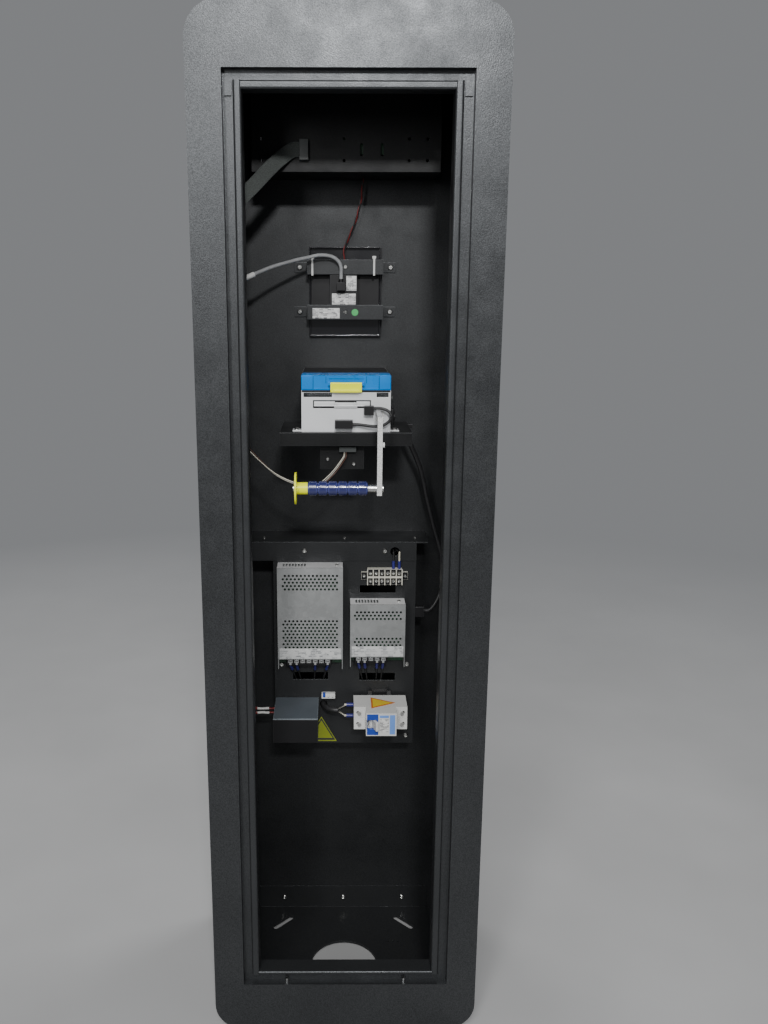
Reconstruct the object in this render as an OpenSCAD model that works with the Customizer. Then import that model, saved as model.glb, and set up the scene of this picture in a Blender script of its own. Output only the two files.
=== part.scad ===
// Slim floor-standing pay station, seen from its service side.
// X runs across the cabinet, Y from the service side to the customer's side, Z up.
// The origin is on the floor, under the middle of the cabinet. Millimetres.

/* [Cabinet] */
// Width of the cabinet
cab_w = 370; // [300:2:450]
// Depth of the cabinet, from the service side to the customer's side
cab_d = 270; // [225:1:330]
// Height of the cabinet
cab_h = 1350; // [1120:5:1640]
// Radius of the four outer corners
corner_r = 40; // [20:1:60]
// Thickness of the cabinet's sheet steel
sheet = 2; // [1.5:0.1:3]

/* [Service opening] */
// Border left at each side of the service opening
border_side = 41; // [30:1:60]
// Border left above the service opening
border_top = 71; // [60:1:90]
// Border left below the service opening
border_bottom = 74; // [60:1:90]
// Depth of the rebate that the door closes into
rebate_d = 14; // [10:1:20]
// Width of the flat ledge around the rebate
ledge_w = 12; // [8:1:16]
// Width of the raised gasket rim inside the ledge
rim_w = 10; // [6:1:14]
// Width of the rim along the sill
sill_w = 5; // [4:0.5:8]
// Distance of the rim's crest behind the service face
rim_in = 5; // [3:0.5:8]
// Depth of the rim, front to back
rim_d = 25; // [15:1:35]

/* [Base] */
// Thickness of the base plate
base_t = 3; // [2:0.5:5]
// Radius of the half-round cable entry
entry_r = 51; // [30:1:60]
// Width of an anchor slot
slot_w = 9; // [8:0.5:12]
// Length of an anchor slot, end to end
slot_len = 42; // [30:1:50]
// Distance from a side of the cabinet to the middle of an anchor slot
anchor_side = 85; // [75:1:95]
// Distance from the service face to the middle of an anchor slot
anchor_in = 45; // [40:1:60]

/* [Display] */
// Distance of the display's centre below the top of the cabinet
display_drop = 92; // [85:1:140]
// Width of the display glass
glass_w = 238; // [180:1:250]
// Height of the display glass
glass_h = 136; // [100:1:140]
// Thickness of the display glass
glass_t = 3; // [2:0.5:4]
// Depth of the housing behind the display
housing_d = 98; // [60:1:110]

/* [Reader] */
// Distance of the reader's centre below the top of the cabinet
reader_drop = 315; // [280:1:340]
// Distance between the centres of the two clamp bars
bar_pitch = 63; // [55:1:75]
// Length of a clamp bar
bar_len = 109; // [90:1:120]
// Height of a clamp bar
bar_h = 20.5; // [14:0.5:24]

/* [Printer] */
// Distance of the printer shelf below the top of the cabinet
shelf_drop = 502; // [480:1:540]
// Width of the printer
printer_w = 120; // [100:1:130]
// Length of the printer, front to back
printer_l = 146; // [120:1:150]
// Height of the printer's steel body
printer_h = 56; // [50:1:70]
// Height of the printer's cover
cover_h = 19.5; // [16:0.5:24]
// Diameter of the cover's hinge pin
hinge_d = 4; // [3:0.5:5]
// Diameter of the platen roller
platen_d = 12; // [8:0.5:14]
// Running clearance between a shaft and its bore, on the radius
run_c = 0.05; // [0.02:0.01:0.1]

/* [Paper spindle] */
// Diameter of the spindle's steel shaft
shaft_d = 6; // [4:0.5:8]
// Length of the ribbed core
core_len = 78; // [50:1:85]
// Diameter over the core's ribs
core_d = 19; // [14:0.5:24]
// Diameter of the end flange
flange_d = 42; // [30:1:50]
// Reach of the arm, from the printer to the spindle
arm_reach = 61; // [50:1:65]
// Drop of the arm, from its foot to the spindle
arm_drop = 90; // [70:1:100]

/* [Equipment plate] */
// Distance of the cross shelf's top below the top of the cabinet
plate_drop = 680; // [650:1:700]
// Width of the equipment plate
plate_w = 214; // [200:1:230]
// Height of the equipment plate
plate_h = 325; // [320:1:340]
// Distance of the equipment plate from the customer-side wall
plate_off = 62; // [50:1:70]
// Height of the cross shelf's turned-down edge
rail_h = 29; // [24:1:29]

/* [Power supplies] */
// Depth of both power supplies
psu_d = 30; // [26:1:34]
// Width of the large power supply
psu_a_w = 97; // [90:1:99]
// Height of the large power supply
psu_a_h = 159; // [150:1:159]
// Width of the small power supply
psu_b_w = 82; // [76:1:88]
// Height of the small power supply
psu_b_h = 99; // [92:1:104]

/* [Breaker] */
// Length of the breaker across the cabinet
breaker_len = 80; // [78:1:86]
// Width of one breaker pole
pole_w = 18; // [17.5:0.1:18]
// Length of the breaker's raised nose
nose_len = 45; // [44:1:46]
// Length of the toggle, from its pivot to its tip
toggle_len = 21; // [18:1:24]

/* [Hidden] */

big = 400;            // longer than anything that a cut passes through
cut = 1;              // how far a cut runs past the face that it opens
round_fn = 64;        // segments of a large arc
small_fn = 32;        // segments of a small arc
gap = 0.3;            // clearance between pieces that aren't fixed face to face

service_y = -cab_d / 2;          // the service face
user_y = cab_d / 2;              // the customer's face
wall_y = user_y - sheet;         // inside of the customer-side wall
side_x = cab_w / 2 - sheet;      // inside of a side wall

open_w = cab_w - 2 * border_side;
open_z0 = border_bottom;
open_z1 = cab_h - border_top;
rim_z0 = open_z0 + ledge_w + sill_w;
rim_z1 = open_z1 - ledge_w - rim_w;
rim_x = open_w / 2 - ledge_w - rim_w;

black = "#17181a";
steel = "#c9cbcd";
paint = "#3b3e41";
dark_paint = "#2b2d2f";

// Distance forward from the inside of the customer-side wall, as a Y value
function off(d) = wall_y - d;

// ---- Helpers ----

// Block between its lowest and its highest corner
module block(lo, hi) translate(lo) cube(hi - lo);

// Block given by its middle and width across X
module slab_x(x, w, y0, y1, z0, z1) block([x - w / 2, y0, z0], [x + w / 2, y1, z1]);

// Extrudes a shape drawn in X and Z from y0 to y1
module slab(y0, y1) translate([0, y1, 0]) rotate([90, 0, 0]) linear_extrude(y1 - y0) children();

// Rectangle in X and Z, centred on X
module panel2d(w, z0, z1) translate([-w / 2, z0]) square([w, z1 - z0]);

// Rectangle with round corners that stands on zero and is centred on X
module rounded2d(w, h, r) {
  translate([r - w / 2, 0]) square([w - 2 * r, h]);
  translate([-w / 2, r]) square([w, h - 2 * r]);
  for (x = [r - w / 2, w / 2 - r], z = [r, h - r]) translate([x, z]) circle(r, $fn = round_fn);
}

// Cylinder along X from x0 to x1
module rod_x(x0, x1, r, y, z)
  translate([x0, y, z]) rotate([0, 90, 0]) cylinder(h = x1 - x0, r = r, $fn = small_fn);

// Cylinder along Y from y0 to y1
module rod_y(y0, y1, r, x, z)
  translate([x, y1, z]) rotate([90, 0, 0]) cylinder(h = y1 - y0, r = r, $fn = small_fn);

// Cylinder along Z from z0 to z1
module rod_z(z0, z1, r, x, y) translate([x, y, z0]) cylinder(h = z1 - z0, r = r, $fn = small_fn);

// Straight round wire between two points
module wire(a, b, r) {
  v = b - a;
  flat = norm([v.x, v.y]);
  translate(a) rotate([0, atan2(flat, v.z), atan2(v.y, v.x)]) cylinder(h = norm(v), r = r, $fn = small_fn);
}

// Slot with round ends, drawn flat and centred
module slot2d(len, w) {
  square([len - w, w], center = true);
  for (s = [-1, 1]) translate([s * (len - w) / 2, 0]) circle(d = w, $fn = small_fn);
}

function unit(v) = v / norm(v);
function along(p, i) = unit(p[min(i + 1, len(p) - 1)] - p[max(i - 1, 0)]);

// Sweeps a round or flat section along a route. half_w lies across `facing`, half_t along it
module sweep(p, half_w, half_t, facing, sides) {
  n = len(p);
  rings = [for (i = [0 : n - 1])
    let (t = along(p, i), u = unit(cross(t, facing)), v = cross(u, t))
    for (k = [0 : sides - 1])
      let (a = 360 * (k + 0.5) / sides) p[i] + half_w * cos(a) * u + half_t * sin(a) * v];
  walls = [for (i = [0 : n - 2], k = [0 : sides - 1])
    let (a = i * sides + k, b = i * sides + (k + 1) % sides) [a, b, b + sides, a + sides]];
  ends = [[for (k = [sides - 1 : -1 : 0]) k], [for (k = [0 : sides - 1]) (n - 1) * sides + k]];
  polyhedron(points = rings, faces = concat(walls, ends));
}

// ---- Cabinet ----

anchor_x = cab_w - 2 * anchor_side;
anchor_y = cab_d - 2 * anchor_in;
floor_cut_x = (anchor_x + slot_len) / 2 + 2;   // half width of the cut-out in the cabinet's floor
floor_cut_y = (anchor_y + slot_len) / 2 + 2;   // half depth of that cut-out

module cabinet_shell() color(paint) difference() {
  slab(service_y + sheet, user_y - sheet) difference() {
    rounded2d(cab_w, cab_h, corner_r);
    translate([0, sheet]) rounded2d(cab_w - 2 * sheet, cab_h - 2 * sheet, corner_r - sheet);
  }
  block([-floor_cut_x, -floor_cut_y, -cut], [floor_cut_x, floor_cut_y, sheet + cut]);
}

// Section of the gasket rim: a channel with a rounded crest, open at the back
module rim2d(w) {
  r = min(3, w / 2 - 0.2);
  wall = 1.5;
  difference() {
    union() {
      translate([-w / 2, r]) square([w, rim_d - r]);
      translate([r - w / 2, 0]) square([w - 2 * r, r + cut]);
      for (s = [-1, 1]) translate([s * (w / 2 - r), r]) circle(r, $fn = small_fn);
    }
    translate([wall - w / 2, wall]) square([w - 2 * wall, rim_d]);
  }
}

pad_w = 9;             // corner pads on the ledge
pad_h = 16;
pad_t = 2.5;

module service_frame() color(paint) {
  crest_y = service_y + rim_in;
  ledge_y = service_y + rebate_d;
  // Face of the surround
  slab(service_y, service_y + sheet) difference() {
    rounded2d(cab_w, cab_h, corner_r);
    panel2d(open_w, open_z0, open_z1);
  }
  // Walls of the rebate
  slab(service_y + sheet, ledge_y) difference() {
    panel2d(open_w + 2 * sheet, open_z0 - sheet, open_z1 + sheet);
    panel2d(open_w, open_z0, open_z1);
  }
  // Ledge behind the rebate
  slab(ledge_y - sheet, ledge_y) difference() {
    panel2d(open_w + cut, open_z0 - cut / 2, open_z1 + cut / 2);
    panel2d(2 * (rim_x + rim_w) - cut, rim_z0 - sill_w + cut / 2, rim_z1 + rim_w - cut / 2);
  }
  // Pads in the upper corners of the ledge
  for (s = [-1, 1])
    block([s * (open_w - ledge_w) / 2 - pad_w / 2, ledge_y - sheet - pad_t, open_z1 - ledge_w - pad_h],
          [s * (open_w - ledge_w) / 2 + pad_w / 2, ledge_y - sheet + cut / 2, open_z1 - ledge_w]);
  // Rim: two posts, a head and a sill
  for (s = [-1, 1]) translate([s * (rim_x + rim_w / 2), crest_y, rim_z0 - sill_w])
    linear_extrude(rim_z1 + rim_w - rim_z0 + sill_w) rim2d(rim_w);
  for (b = [[rim_z1 + rim_w / 2, rim_w], [rim_z0 - sill_w / 2, sill_w]])
    translate([-rim_x - cut, crest_y, b[0]]) rotate([90, 0, 90])
      linear_extrude(2 * (rim_x + cut)) rotate(-90) rim2d(b[1]);
}

peg_x = 83;            // distance of a door peg from the middle
peg_r = 2.5;
peg_h = 6;

module door_pegs() color(steel)
  for (s = [-1, 1]) rod_z(open_z0, open_z0 + peg_h, peg_r, s * peg_x, service_y + rebate_d / 2);

// ---- Customer-side panel ----

display_z = cab_h - display_drop;
reader_z = cab_h - reader_drop;
shelf_z = cab_h - shelf_drop;
shelf_t = 2;
body_z = shelf_z;                      // underside of the printer
paper_z = body_z + 47;                 // height of the paper path
window_w = 100;                        // reader window
window_h = 123;
window_z = reader_z - 3.5;             // centre of the reader window
bezel_w = 100;                         // receipt outlet
bezel_h = 36;
outlet_w = 82;
outlet_h = 8;

module front_panel() color(paint) slab(user_y - sheet, user_y) difference() {
  rounded2d(cab_w, cab_h, corner_r);
  panel2d(glass_w + 2 * gap, display_z - glass_h / 2 - gap, display_z + glass_h / 2 + gap);
  panel2d(window_w + 2 * gap, window_z - window_h / 2 - gap, window_z + window_h / 2 + gap);
  panel2d(bezel_w + 2 * gap, paper_z - bezel_h / 2 - gap, paper_z + bezel_h / 2 + gap);
}

// ---- Base ----

base_x = cab_w / 2 - corner_r - 3;     // half width of the base plate
kick_h = 43;                           // height of its upturned edge
entry_y = service_y + 128;             // straight edge of the cable entry
drain_x = 80;                          // row of small holes
drain_pitch = 8;
drain_r = 1.6;

module base_plate() color(dark_paint) difference() {
  union() {
    block([-base_x, service_y + sheet, sheet], [base_x, wall_y, sheet + base_t]);
    block([-base_x, off(sheet), sheet], [base_x, wall_y, sheet + kick_h]);
  }
  intersection() {
    rod_z(0, sheet + base_t + cut, entry_r, 0, entry_y);
    block([-entry_r - cut, entry_y, 0], [entry_r + cut, entry_y + entry_r + cut, big]);
  }
  for (sx = [-1, 1], sy = [-1, 1])
    translate([sx * anchor_x / 2, sy * anchor_y / 2, 0]) rotate(-45 * sx * sy)
      linear_extrude(sheet + base_t + cut) slot2d(slot_len, slot_w);
  for (i = [-1 : 1]) rod_z(0, sheet + base_t + cut, drain_r, drain_x + i * drain_pitch, service_y + 178);
}

// ---- Display ----

housing_w = glass_w + 12;
housing_z0 = display_z - glass_h / 2 - 3;
housing_z1 = display_z + glass_h / 2 + 2.5;
housing_t = 1.5;
housing_tab = 12;
lcd_w = glass_w - 6;
lcd_h = glass_h - 2;
lcd_t = 5;
hole_xs = [-112, -3, 83, 107];         // tapped holes in the housing's back
hole_row = 14;                         // height of the lower row over the housing's floor
hole_row_pitch = 27;
hole_r = 2;
vent_xs = [20, 47];                    // upright slots in the housing's back
vent_h = 16;
vent_w = 4;

module display_housing() color(black) {
  difference() {
    block([-housing_w / 2, off(housing_d), housing_z0], [housing_w / 2, wall_y, housing_z1]);
    block([housing_t - housing_w / 2, off(housing_d - housing_t), housing_z0 + housing_t],
          [housing_w / 2 - housing_t, wall_y + cut, housing_z1 - housing_t]);
    for (x = hole_xs, i = [0, 1])
      rod_y(off(housing_d + cut), off(housing_d - 2 * housing_t), hole_r,
            x, housing_z0 + hole_row + i * hole_row_pitch);
    for (x = vent_xs) slab(off(housing_d + cut), off(housing_d - 2 * housing_t))
      translate([x, housing_z0 + hole_row + hole_row_pitch / 2]) rotate(90) slot2d(vent_h, vent_w);
  }
  for (s = [-1, 1])
    block([min(s * housing_w / 2, s * (housing_w / 2 + housing_tab)), off(housing_t), housing_z0],
          [max(s * housing_w / 2, s * (housing_w / 2 + housing_tab)), wall_y, housing_z1]);
}

module display_panel() color("#202226")
  block([-lcd_w / 2, user_y - glass_t - lcd_t, display_z - lcd_h / 2],
        [lcd_w / 2, user_y - glass_t, display_z + lcd_h / 2]);

module touch_glass() color("#0b0c0e")
  block([-glass_w / 2, user_y - glass_t, display_z - glass_h / 2],
        [glass_w / 2, user_y, display_z + glass_h / 2]);

board_w = 150;                         // controller board
board_h = 96;
board_t = 1.6;
board_post = 8;

module controller_board() color("#1d5a35") {
  back = off(housing_d - housing_t);
  z0 = display_z - board_h / 2;
  block([-board_w / 2, back + board_post, z0], [board_w / 2, back + board_post + board_t, z0 + board_h]);
  for (sx = [-1, 1], sz = [-1, 1])
    rod_y(back, back + board_post, 3, sx * (board_w / 2 - 6), display_z + sz * (board_h / 2 - 6));
  block([-30, back + board_post + board_t, display_z - 20], [14, back + board_post + 16, display_z + 24]);
  block([30, back + board_post + board_t, z0 + 4], [62, back + board_post + 14, z0 + 22]);
}

socket_x = -62;                        // loom socket on the housing's back
socket_z = display_z - 44;
socket_w = 26;
socket_h = 12;
socket_t = 8;

module loom_socket() color("#5b625f")
  block([socket_x, off(housing_d + socket_t), socket_z - socket_w / 2],
        [socket_x + socket_h, off(housing_d), socket_z + socket_w / 2]);

// ---- Reader ----

bar_d = 12;                            // depth of a bar's face block
bar_leg = 2;
bar_face = 30;                         // distance of a bar's face from the wall
bar_ear = 19;
window_t = 3;                          // thickness of the window
flange_in = 8;                         // depth of the flange around it
head_t = 14;
core_x0 = -22;                         // middle block of the reader
core_x1 = 17;
plug_x = -6;

module reader_window() color("#101114") {
  z0 = window_z - window_h / 2;
  z1 = window_z + window_h / 2;
  slab(user_y - window_t, user_y) panel2d(window_w, z0, z1);
  slab(wall_y - flange_in, wall_y) difference() {
    panel2d(window_w + 2 * sheet, z0 - sheet, z1 + sheet);
    panel2d(window_w, z0, z1);
  }
}

module reader_body() color(black) {
  head_h = bar_pitch + bar_h;
  block([gap + 1 - window_w / 2, off(head_t), reader_z - head_h / 2],
        [window_w / 2 - gap - 1, user_y - window_t, reader_z + head_h / 2]);
  block([core_x0, off(bar_face - 2), reader_z - bar_pitch / 2 + bar_h / 2 + gap],
        [core_x1, off(head_t), reader_z + bar_pitch / 2 - bar_h / 2 - gap]);
}

module reader_bars() color(dark_paint)
  for (s = [-1, 1]) {
    z0 = reader_z + s * bar_pitch / 2 - bar_h / 2;
    block([-bar_len / 2, off(bar_face), z0], [bar_len / 2, off(bar_face - bar_d), z0 + bar_h]);
    for (e = [-1, 1]) {
      leg = e * (bar_len / 2 - bar_leg);
      ear = e * (bar_len / 2 + bar_ear);
      block([min(leg, e * bar_len / 2), off(bar_face - bar_d), z0],
            [max(leg, e * bar_len / 2), wall_y, z0 + bar_h]);
      block([min(leg, ear), off(bar_leg), z0 + 3], [max(leg, ear), wall_y, z0 + bar_h - 3]);
    }
  }

tie_xs = [-47, 41];                    // cable ties around the upper bar
tie_w = 2.6;
tie_t = 1.2;

module reader_ties() color("#e8e8e4")
  for (x = tie_xs) {
    z0 = reader_z + bar_pitch / 2 - bar_h / 2;
    difference() {
      block([x - tie_w / 2, off(bar_face + tie_t + gap), z0 - tie_t - gap],
            [x + tie_w / 2, off(bar_face - bar_d - tie_t - gap), z0 + bar_h + tie_t + gap]);
      block([x - tie_w, off(bar_face + gap), z0 - gap],
            [x + tie_w, off(bar_face - bar_d - gap), z0 + bar_h + gap]);
    }
    block([x - tie_w, off(bar_face + tie_t + gap), z0 + bar_h + tie_t + gap],
          [x + tie_w, off(bar_face - 3), z0 + bar_h + 5]);
  }

plug_z0 = reader_z - 1;
plug_z1 = reader_z + 15;

module reader_plug() color(black) {
  block([plug_x - 6, off(bar_face + 12), plug_z0], [plug_x + 6, off(bar_face - 2), plug_z1 - 5]);
  rod_z(plug_z1 - 5, plug_z1, 3.6, plug_x, off(36));
}

// ---- Printer ----

wall_p = 2;                            // printer's sheet
rear_p = off(printer_l + 4);           // printer's service-side face
front_p = off(4);
pin_y = rear_p + 43;                   // cover's hinge pin
pin_z = body_z + printer_h + 7;
ear_t = 3.5;                           // hinge ears of the printer's body
ear_rise = 4;
knuckle_r = 5.2;                       // round end of the ears and of the cover's knuckle
bay_y = rear_p + 46;                   // wall between the paper bay and the cutter
head_y = rear_p + 58;                  // start of the raised front block
platen_y = rear_p + 30;
platen_z = body_z + 42;
arm_x = 43;                            // middle of the paper arm
half_p = printer_w / 2;

module shelf_outline() {
  slot_depth = 108;
  translate([-89.5, off(printer_l + 12)]) square([179, slot_depth]);
  translate([2 - half_p, off(printer_l + 12) + slot_depth - cut])
    square([printer_w - 4, wall_y - off(printer_l + 12) - slot_depth + cut]);
}

lip_h = 18;                            // turned-down edge of the printer shelf
rear_h = 30;

module printer_shelf() color(dark_paint) {
  y0 = off(printer_l + 12);
  translate([0, 0, shelf_z - shelf_t]) linear_extrude(shelf_t) shelf_outline();
  block([-89.5, y0, shelf_z - lip_h], [89.5, y0 + shelf_t, shelf_z - cut]);
  block([2 - half_p, off(shelf_t), shelf_z - rear_h], [half_p - 2, wall_y, shelf_z - cut]);
}

module printer_body() color(steel) difference() {
  union() {
    block([-half_p, rear_p, body_z], [half_p, front_p, body_z + printer_h]);
    block([-half_p, head_y, body_z + printer_h - cut], [half_p, front_p, body_z + printer_h + 18]);
    for (s = [-1, 1]) {
      // Hinge ears, round where the cover's back swings past them
      ear_x = s * (half_p - ear_t / 2);
      rod_x(ear_x - ear_t / 2, ear_x + ear_t / 2, knuckle_r, pin_y, pin_z);
      slab_x(ear_x, ear_t, pin_y - knuckle_r, head_y + cut, body_z + printer_h - cut, pin_z);
      slab_x(ear_x, ear_t, pin_y, head_y + cut, pin_z - cut, pin_z + ear_rise);
      // Mounting tabs
      slab_x(s * (half_p + 6), 12.4, rear_p + 4, rear_p + 22, body_z, body_z + 1.5);
    }
  }
  // Paper bay, open at the top
  block([wall_p - half_p, rear_p + wall_p, body_z + wall_p],
        [half_p - wall_p, bay_y - 2, body_z + printer_h + cut]);
  // Space above the bay, where the cover shuts, up to the raised block
  block([ear_t - half_p, bay_y - 3, body_z + printer_h], [half_p - ear_t, head_y, body_z + big]);
  // Cutter bay
  block([wall_p - half_p, bay_y + wall_p, body_z + wall_p],
        [half_p - wall_p, front_p - wall_p, body_z + printer_h - wall_p]);
  block([wall_p - half_p, head_y + wall_p, body_z + wall_p],
        [half_p - wall_p, front_p - wall_p, body_z + printer_h + 18 - wall_p]);
  // Paper path through the front wall and the middle wall
  block([-outlet_w / 2, bay_y - 4, paper_z - 3], [outlet_w / 2, bay_y + 4, paper_z + 3]);
  block([-outlet_w / 2, front_p - wall_p - cut, paper_z - 3], [outlet_w / 2, front_p + cut, paper_z + 3]);
  // Paper inlet in the rear face, in three parts, and two gaps below the cover
  for (x = [[-43, -14], [-10, 10], [14, 22]])
    block([x[0], rear_p - cut, body_z + 32], [x[1], rear_p + wall_p + cut, body_z + 38]);
  for (x = [[-57, -19], [41, 57]])
    block([x[0], rear_p - cut, body_z + 47], [x[1], rear_p + wall_p + cut, body_z + 53]);
  // Bores for the hinge pin and the platen's shaft
  rod_x(-half_p - cut, half_p + cut, hinge_d / 2 + run_c, pin_y, pin_z);
  rod_x(-half_p - cut, half_p + cut, 2.5 + run_c, platen_y, platen_z);
}

latch_w = 42;
latch_y = rear_p - 3.6;                // latch pivot
latch_z = body_z + printer_h + 9;
latch_r = 2.2;
latch_pin = 1.2;

module printer_cover() color("#2f9fd6") {
  z0 = body_z + printer_h + gap;
  z1 = z0 + cover_h;
  y1 = pin_y - 6;
  t = 2.5;
  // Cap, open underneath
  difference() {
    union() {
      block([-half_p, rear_p, z0], [half_p, y1, z1]);
      block([ear_t + 0.6 - half_p, y1 - cut, pin_z - 2], [half_p - ear_t - 0.6, pin_y, z1]);
      rod_x(ear_t + 0.6 - half_p, half_p - ear_t - 0.6, knuckle_r, pin_y, pin_z);
    }
    block([t - half_p, rear_p + t, z0 - cut], [half_p - t, y1 - t, z1 - t]);
    rod_x(-half_p - cut, half_p + cut, hinge_d / 2 + run_c, pin_y, pin_z);
    // Finger recess behind the latch
    block([-latch_w / 2 - 3, rear_p - cut, z0 + 9], [latch_w / 2 + 3, rear_p + 1.2, z1 - 4]);
  }
  // Lugs and pin that carry the latch
  for (s = [-1, 1])
    slab_x(s * (latch_w / 2 + 1.8), 2.4, latch_y - 2.2, rear_p + 1.3, latch_z - 2.2, latch_z + 2.2);
  rod_x(-latch_w / 2 - cut, latch_w / 2 + cut, latch_pin, latch_y, latch_z);
}

module cover_hinge_pin() color(steel) rod_x(-half_p, half_p, hinge_d / 2, pin_y, pin_z);

module cover_latch() color("#e6df4a") difference() {
  union() {
    rod_x(-latch_w / 2, latch_w / 2, latch_r, latch_y, latch_z);
    block([-latch_w / 2, latch_y - 2, latch_z - 11], [latch_w / 2, latch_y + 1, latch_z]);
    block([-latch_w / 2 + 4, latch_y - 4, latch_z - 11], [latch_w / 2 - 4, latch_y, latch_z - 8]);
  }
  rod_x(-latch_w, latch_w, latch_pin + run_c, latch_y, latch_z);
}

module platen_roller() color(black) {
  rod_x(-half_p, half_p, 2.5, platen_y, platen_z);
  rod_x(-outlet_w / 2, outlet_w / 2, platen_d / 2, platen_y, platen_z);
}

module print_head() color("#8a8d90")
  block([wall_p - half_p, platen_y - platen_d / 2 - 8, platen_z - 8],
        [half_p - wall_p, platen_y - platen_d / 2 - 0.4, platen_z + 9]);

module paper_cutter() color("#9a9da0") difference() {
  block([wall_p - half_p, bay_y + 2, paper_z - 10], [half_p - wall_p, bay_y + 11, paper_z + 7]);
  block([-outlet_w / 2, bay_y, paper_z - 3], [outlet_w / 2, bay_y + 14, paper_z + 3]);
}

module printer_plugs() color(black) {
  block([-15, rear_p - 12, body_z + 6], [9, rear_p, body_z + 17]);
  block([24, rear_p - 11, body_z + 24], [37, rear_p, body_z + 36]);
}

module receipt_bezel() color(black) slab(wall_y - 1.7, user_y) difference() {
  panel2d(bezel_w, paper_z - bezel_h / 2, paper_z + bezel_h / 2);
  panel2d(outlet_w, paper_z - outlet_h / 2, paper_z + outlet_h / 2);
}

// ---- Paper arm and spindle ----

arm_w = 6.4;
arm_t = 1.5;
arm_z = body_z + 29;                   // top of the arm
spin_y = rear_p - arm_reach;
spin_z = arm_z - arm_drop - 4;
foot_w = 11;
foot_h = 14;
foot_side = 3;                         // reach of the foot to the left of the arm's middle
arm_half = arm_w / 2;
leg_half = 5;                          // half the depth of the leg down to the spindle
leg_end = 9;                           // reach of the leg below the spindle's axis
lip = 8;                               // height of the channel's lips
rivet_r = 3.5;
rivet_len = 3;
rivet_drop = 37;

module paper_arm() color("#dfe0e0") difference() {
  union() {
    // Foot on the printer
    block([arm_x - foot_side, rear_p - arm_t, arm_z - foot_h], [arm_x - foot_side + foot_w, rear_p, arm_z]);
    // Leg towards the service side, an upside-down channel
    block([arm_x - arm_half, spin_y - leg_half + cut, arm_z - arm_t],
          [arm_x + arm_half, rear_p - arm_t + cut, arm_z]);
    for (s = [-1, 1])
      slab_x(arm_x + s * (arm_w - arm_t) / 2, arm_t, spin_y - leg_half + cut, rear_p - arm_t,
             arm_z - lip, arm_z - cut);
    // Leg down to the spindle
    block([arm_x - arm_half, spin_y - leg_half, spin_z - leg_end],
          [arm_x + arm_half, spin_y - leg_half + arm_t, arm_z]);
    for (s = [-1, 1])
      slab_x(arm_x + s * (arm_w - arm_t) / 2, arm_t, spin_y - leg_half + cut, spin_y + leg_half,
             spin_z - leg_end, arm_z);
    // Rivet of the adjusting joint
    rod_x(arm_x + arm_half, arm_x + arm_half + rivet_len, rivet_r, spin_y, arm_z - rivet_drop);
  }
  rod_x(arm_x - arm_w, arm_x + arm_w, shaft_d / 2 + run_c, spin_y, spin_z);
}

core_gap = 12.3;                       // length of the collar between the core and the arm
core_x_end = arm_x - arm_half - core_gap;
core_x_start = core_x_end - core_len;
hub_len = 14.5;
flange_t = 2.5;
flange_x = core_x_start - hub_len - flange_t;
shaft_end = 2;                         // reach of the shaft past the flange and the arm
rib_depth = 2;
rib_gap = 3;
hub_step = 1.5;                        // step from the ribs down to the flange's hub

module spindle_shaft() color(steel) {
  collar_r = shaft_d / 2 + 2;
  stop_r = shaft_d / 2 + 1.5;
  rod_x(flange_x - shaft_end, arm_x + arm_half + shaft_end, shaft_d / 2, spin_y, spin_z);
  rod_x(core_x_end + 0.5, arm_x - arm_half, collar_r, spin_y, spin_z);
  rod_x(arm_x + arm_half, arm_x + arm_half + shaft_end, collar_r, spin_y, spin_z);
  rod_x(flange_x - shaft_end, flange_x - 0.4, stop_r, spin_y, spin_z);
}

rib_count = 6;

module spindle_core() color("#4a4fb0") difference() {
  pitch = core_len / rib_count;
  union() {
    rod_x(core_x_start, core_x_end, core_d / 2 - rib_depth, spin_y, spin_z);
    for (x = [core_x_start : pitch : core_x_end - 1])
      rod_x(x + rib_gap / 2, x + pitch - rib_gap / 2, core_d / 2, spin_y, spin_z);
  }
  rod_x(core_x_start - cut, core_x_end + cut, shaft_d / 2 + run_c, spin_y, spin_z);
}

module spindle_flange() color("#e8e23c") difference() {
  union() {
    rod_x(flange_x, flange_x + flange_t, flange_d / 2, spin_y, spin_z);
    rod_x(flange_x, core_x_start, core_d / 2 - hub_step, spin_y, spin_z);
  }
  rod_x(flange_x - cut, core_x_start + cut, shaft_d / 2 + run_c, spin_y, spin_z);
}

sensor_x0 = -35;                       // bracket that hangs from the printer shelf
sensor_x1 = 25;
sensor_y = rear_p + 10;
sensor_drop = 53;

module sensor_bracket() color(dark_paint) {
  z1 = shelf_z - shelf_t;
  block([sensor_x0, sensor_y, z1 - arm_t], [sensor_x1, sensor_y + 18, z1]);
  block([sensor_x0, sensor_y, shelf_z - sensor_drop], [sensor_x1, sensor_y + arm_t, z1 - 0.5]);
}

module sensor_connector() color("#d8d9d4")
  block([-9, sensor_y - 8, shelf_z - 28], [14, sensor_y, shelf_z - 21]);

// ---- Equipment plate ----

rail_z = cab_h - plate_drop;           // top of the cross shelf
rail_x1 = plate_w / 2 + 17;            // its right end, which leaves a way for cables
plate_z1 = rail_z - sheet;
plate_z0 = plate_z1 - plate_h;
plate_y = off(plate_off);              // the plate's service-side face
rail_y = plate_y - sheet;
grommet_x = 75;
grommet_z = rail_z - 15;
grommet_r = 7;
plate_lip = 16;                        // depth of the plate's turned edges
// Slots for leads: left end, right end, and top below the plate's top
lead_slots = [[-79, -25, -206], [23, 78, -207.5], [23, 77, -66]];
lead_slot_h = 12;

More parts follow.
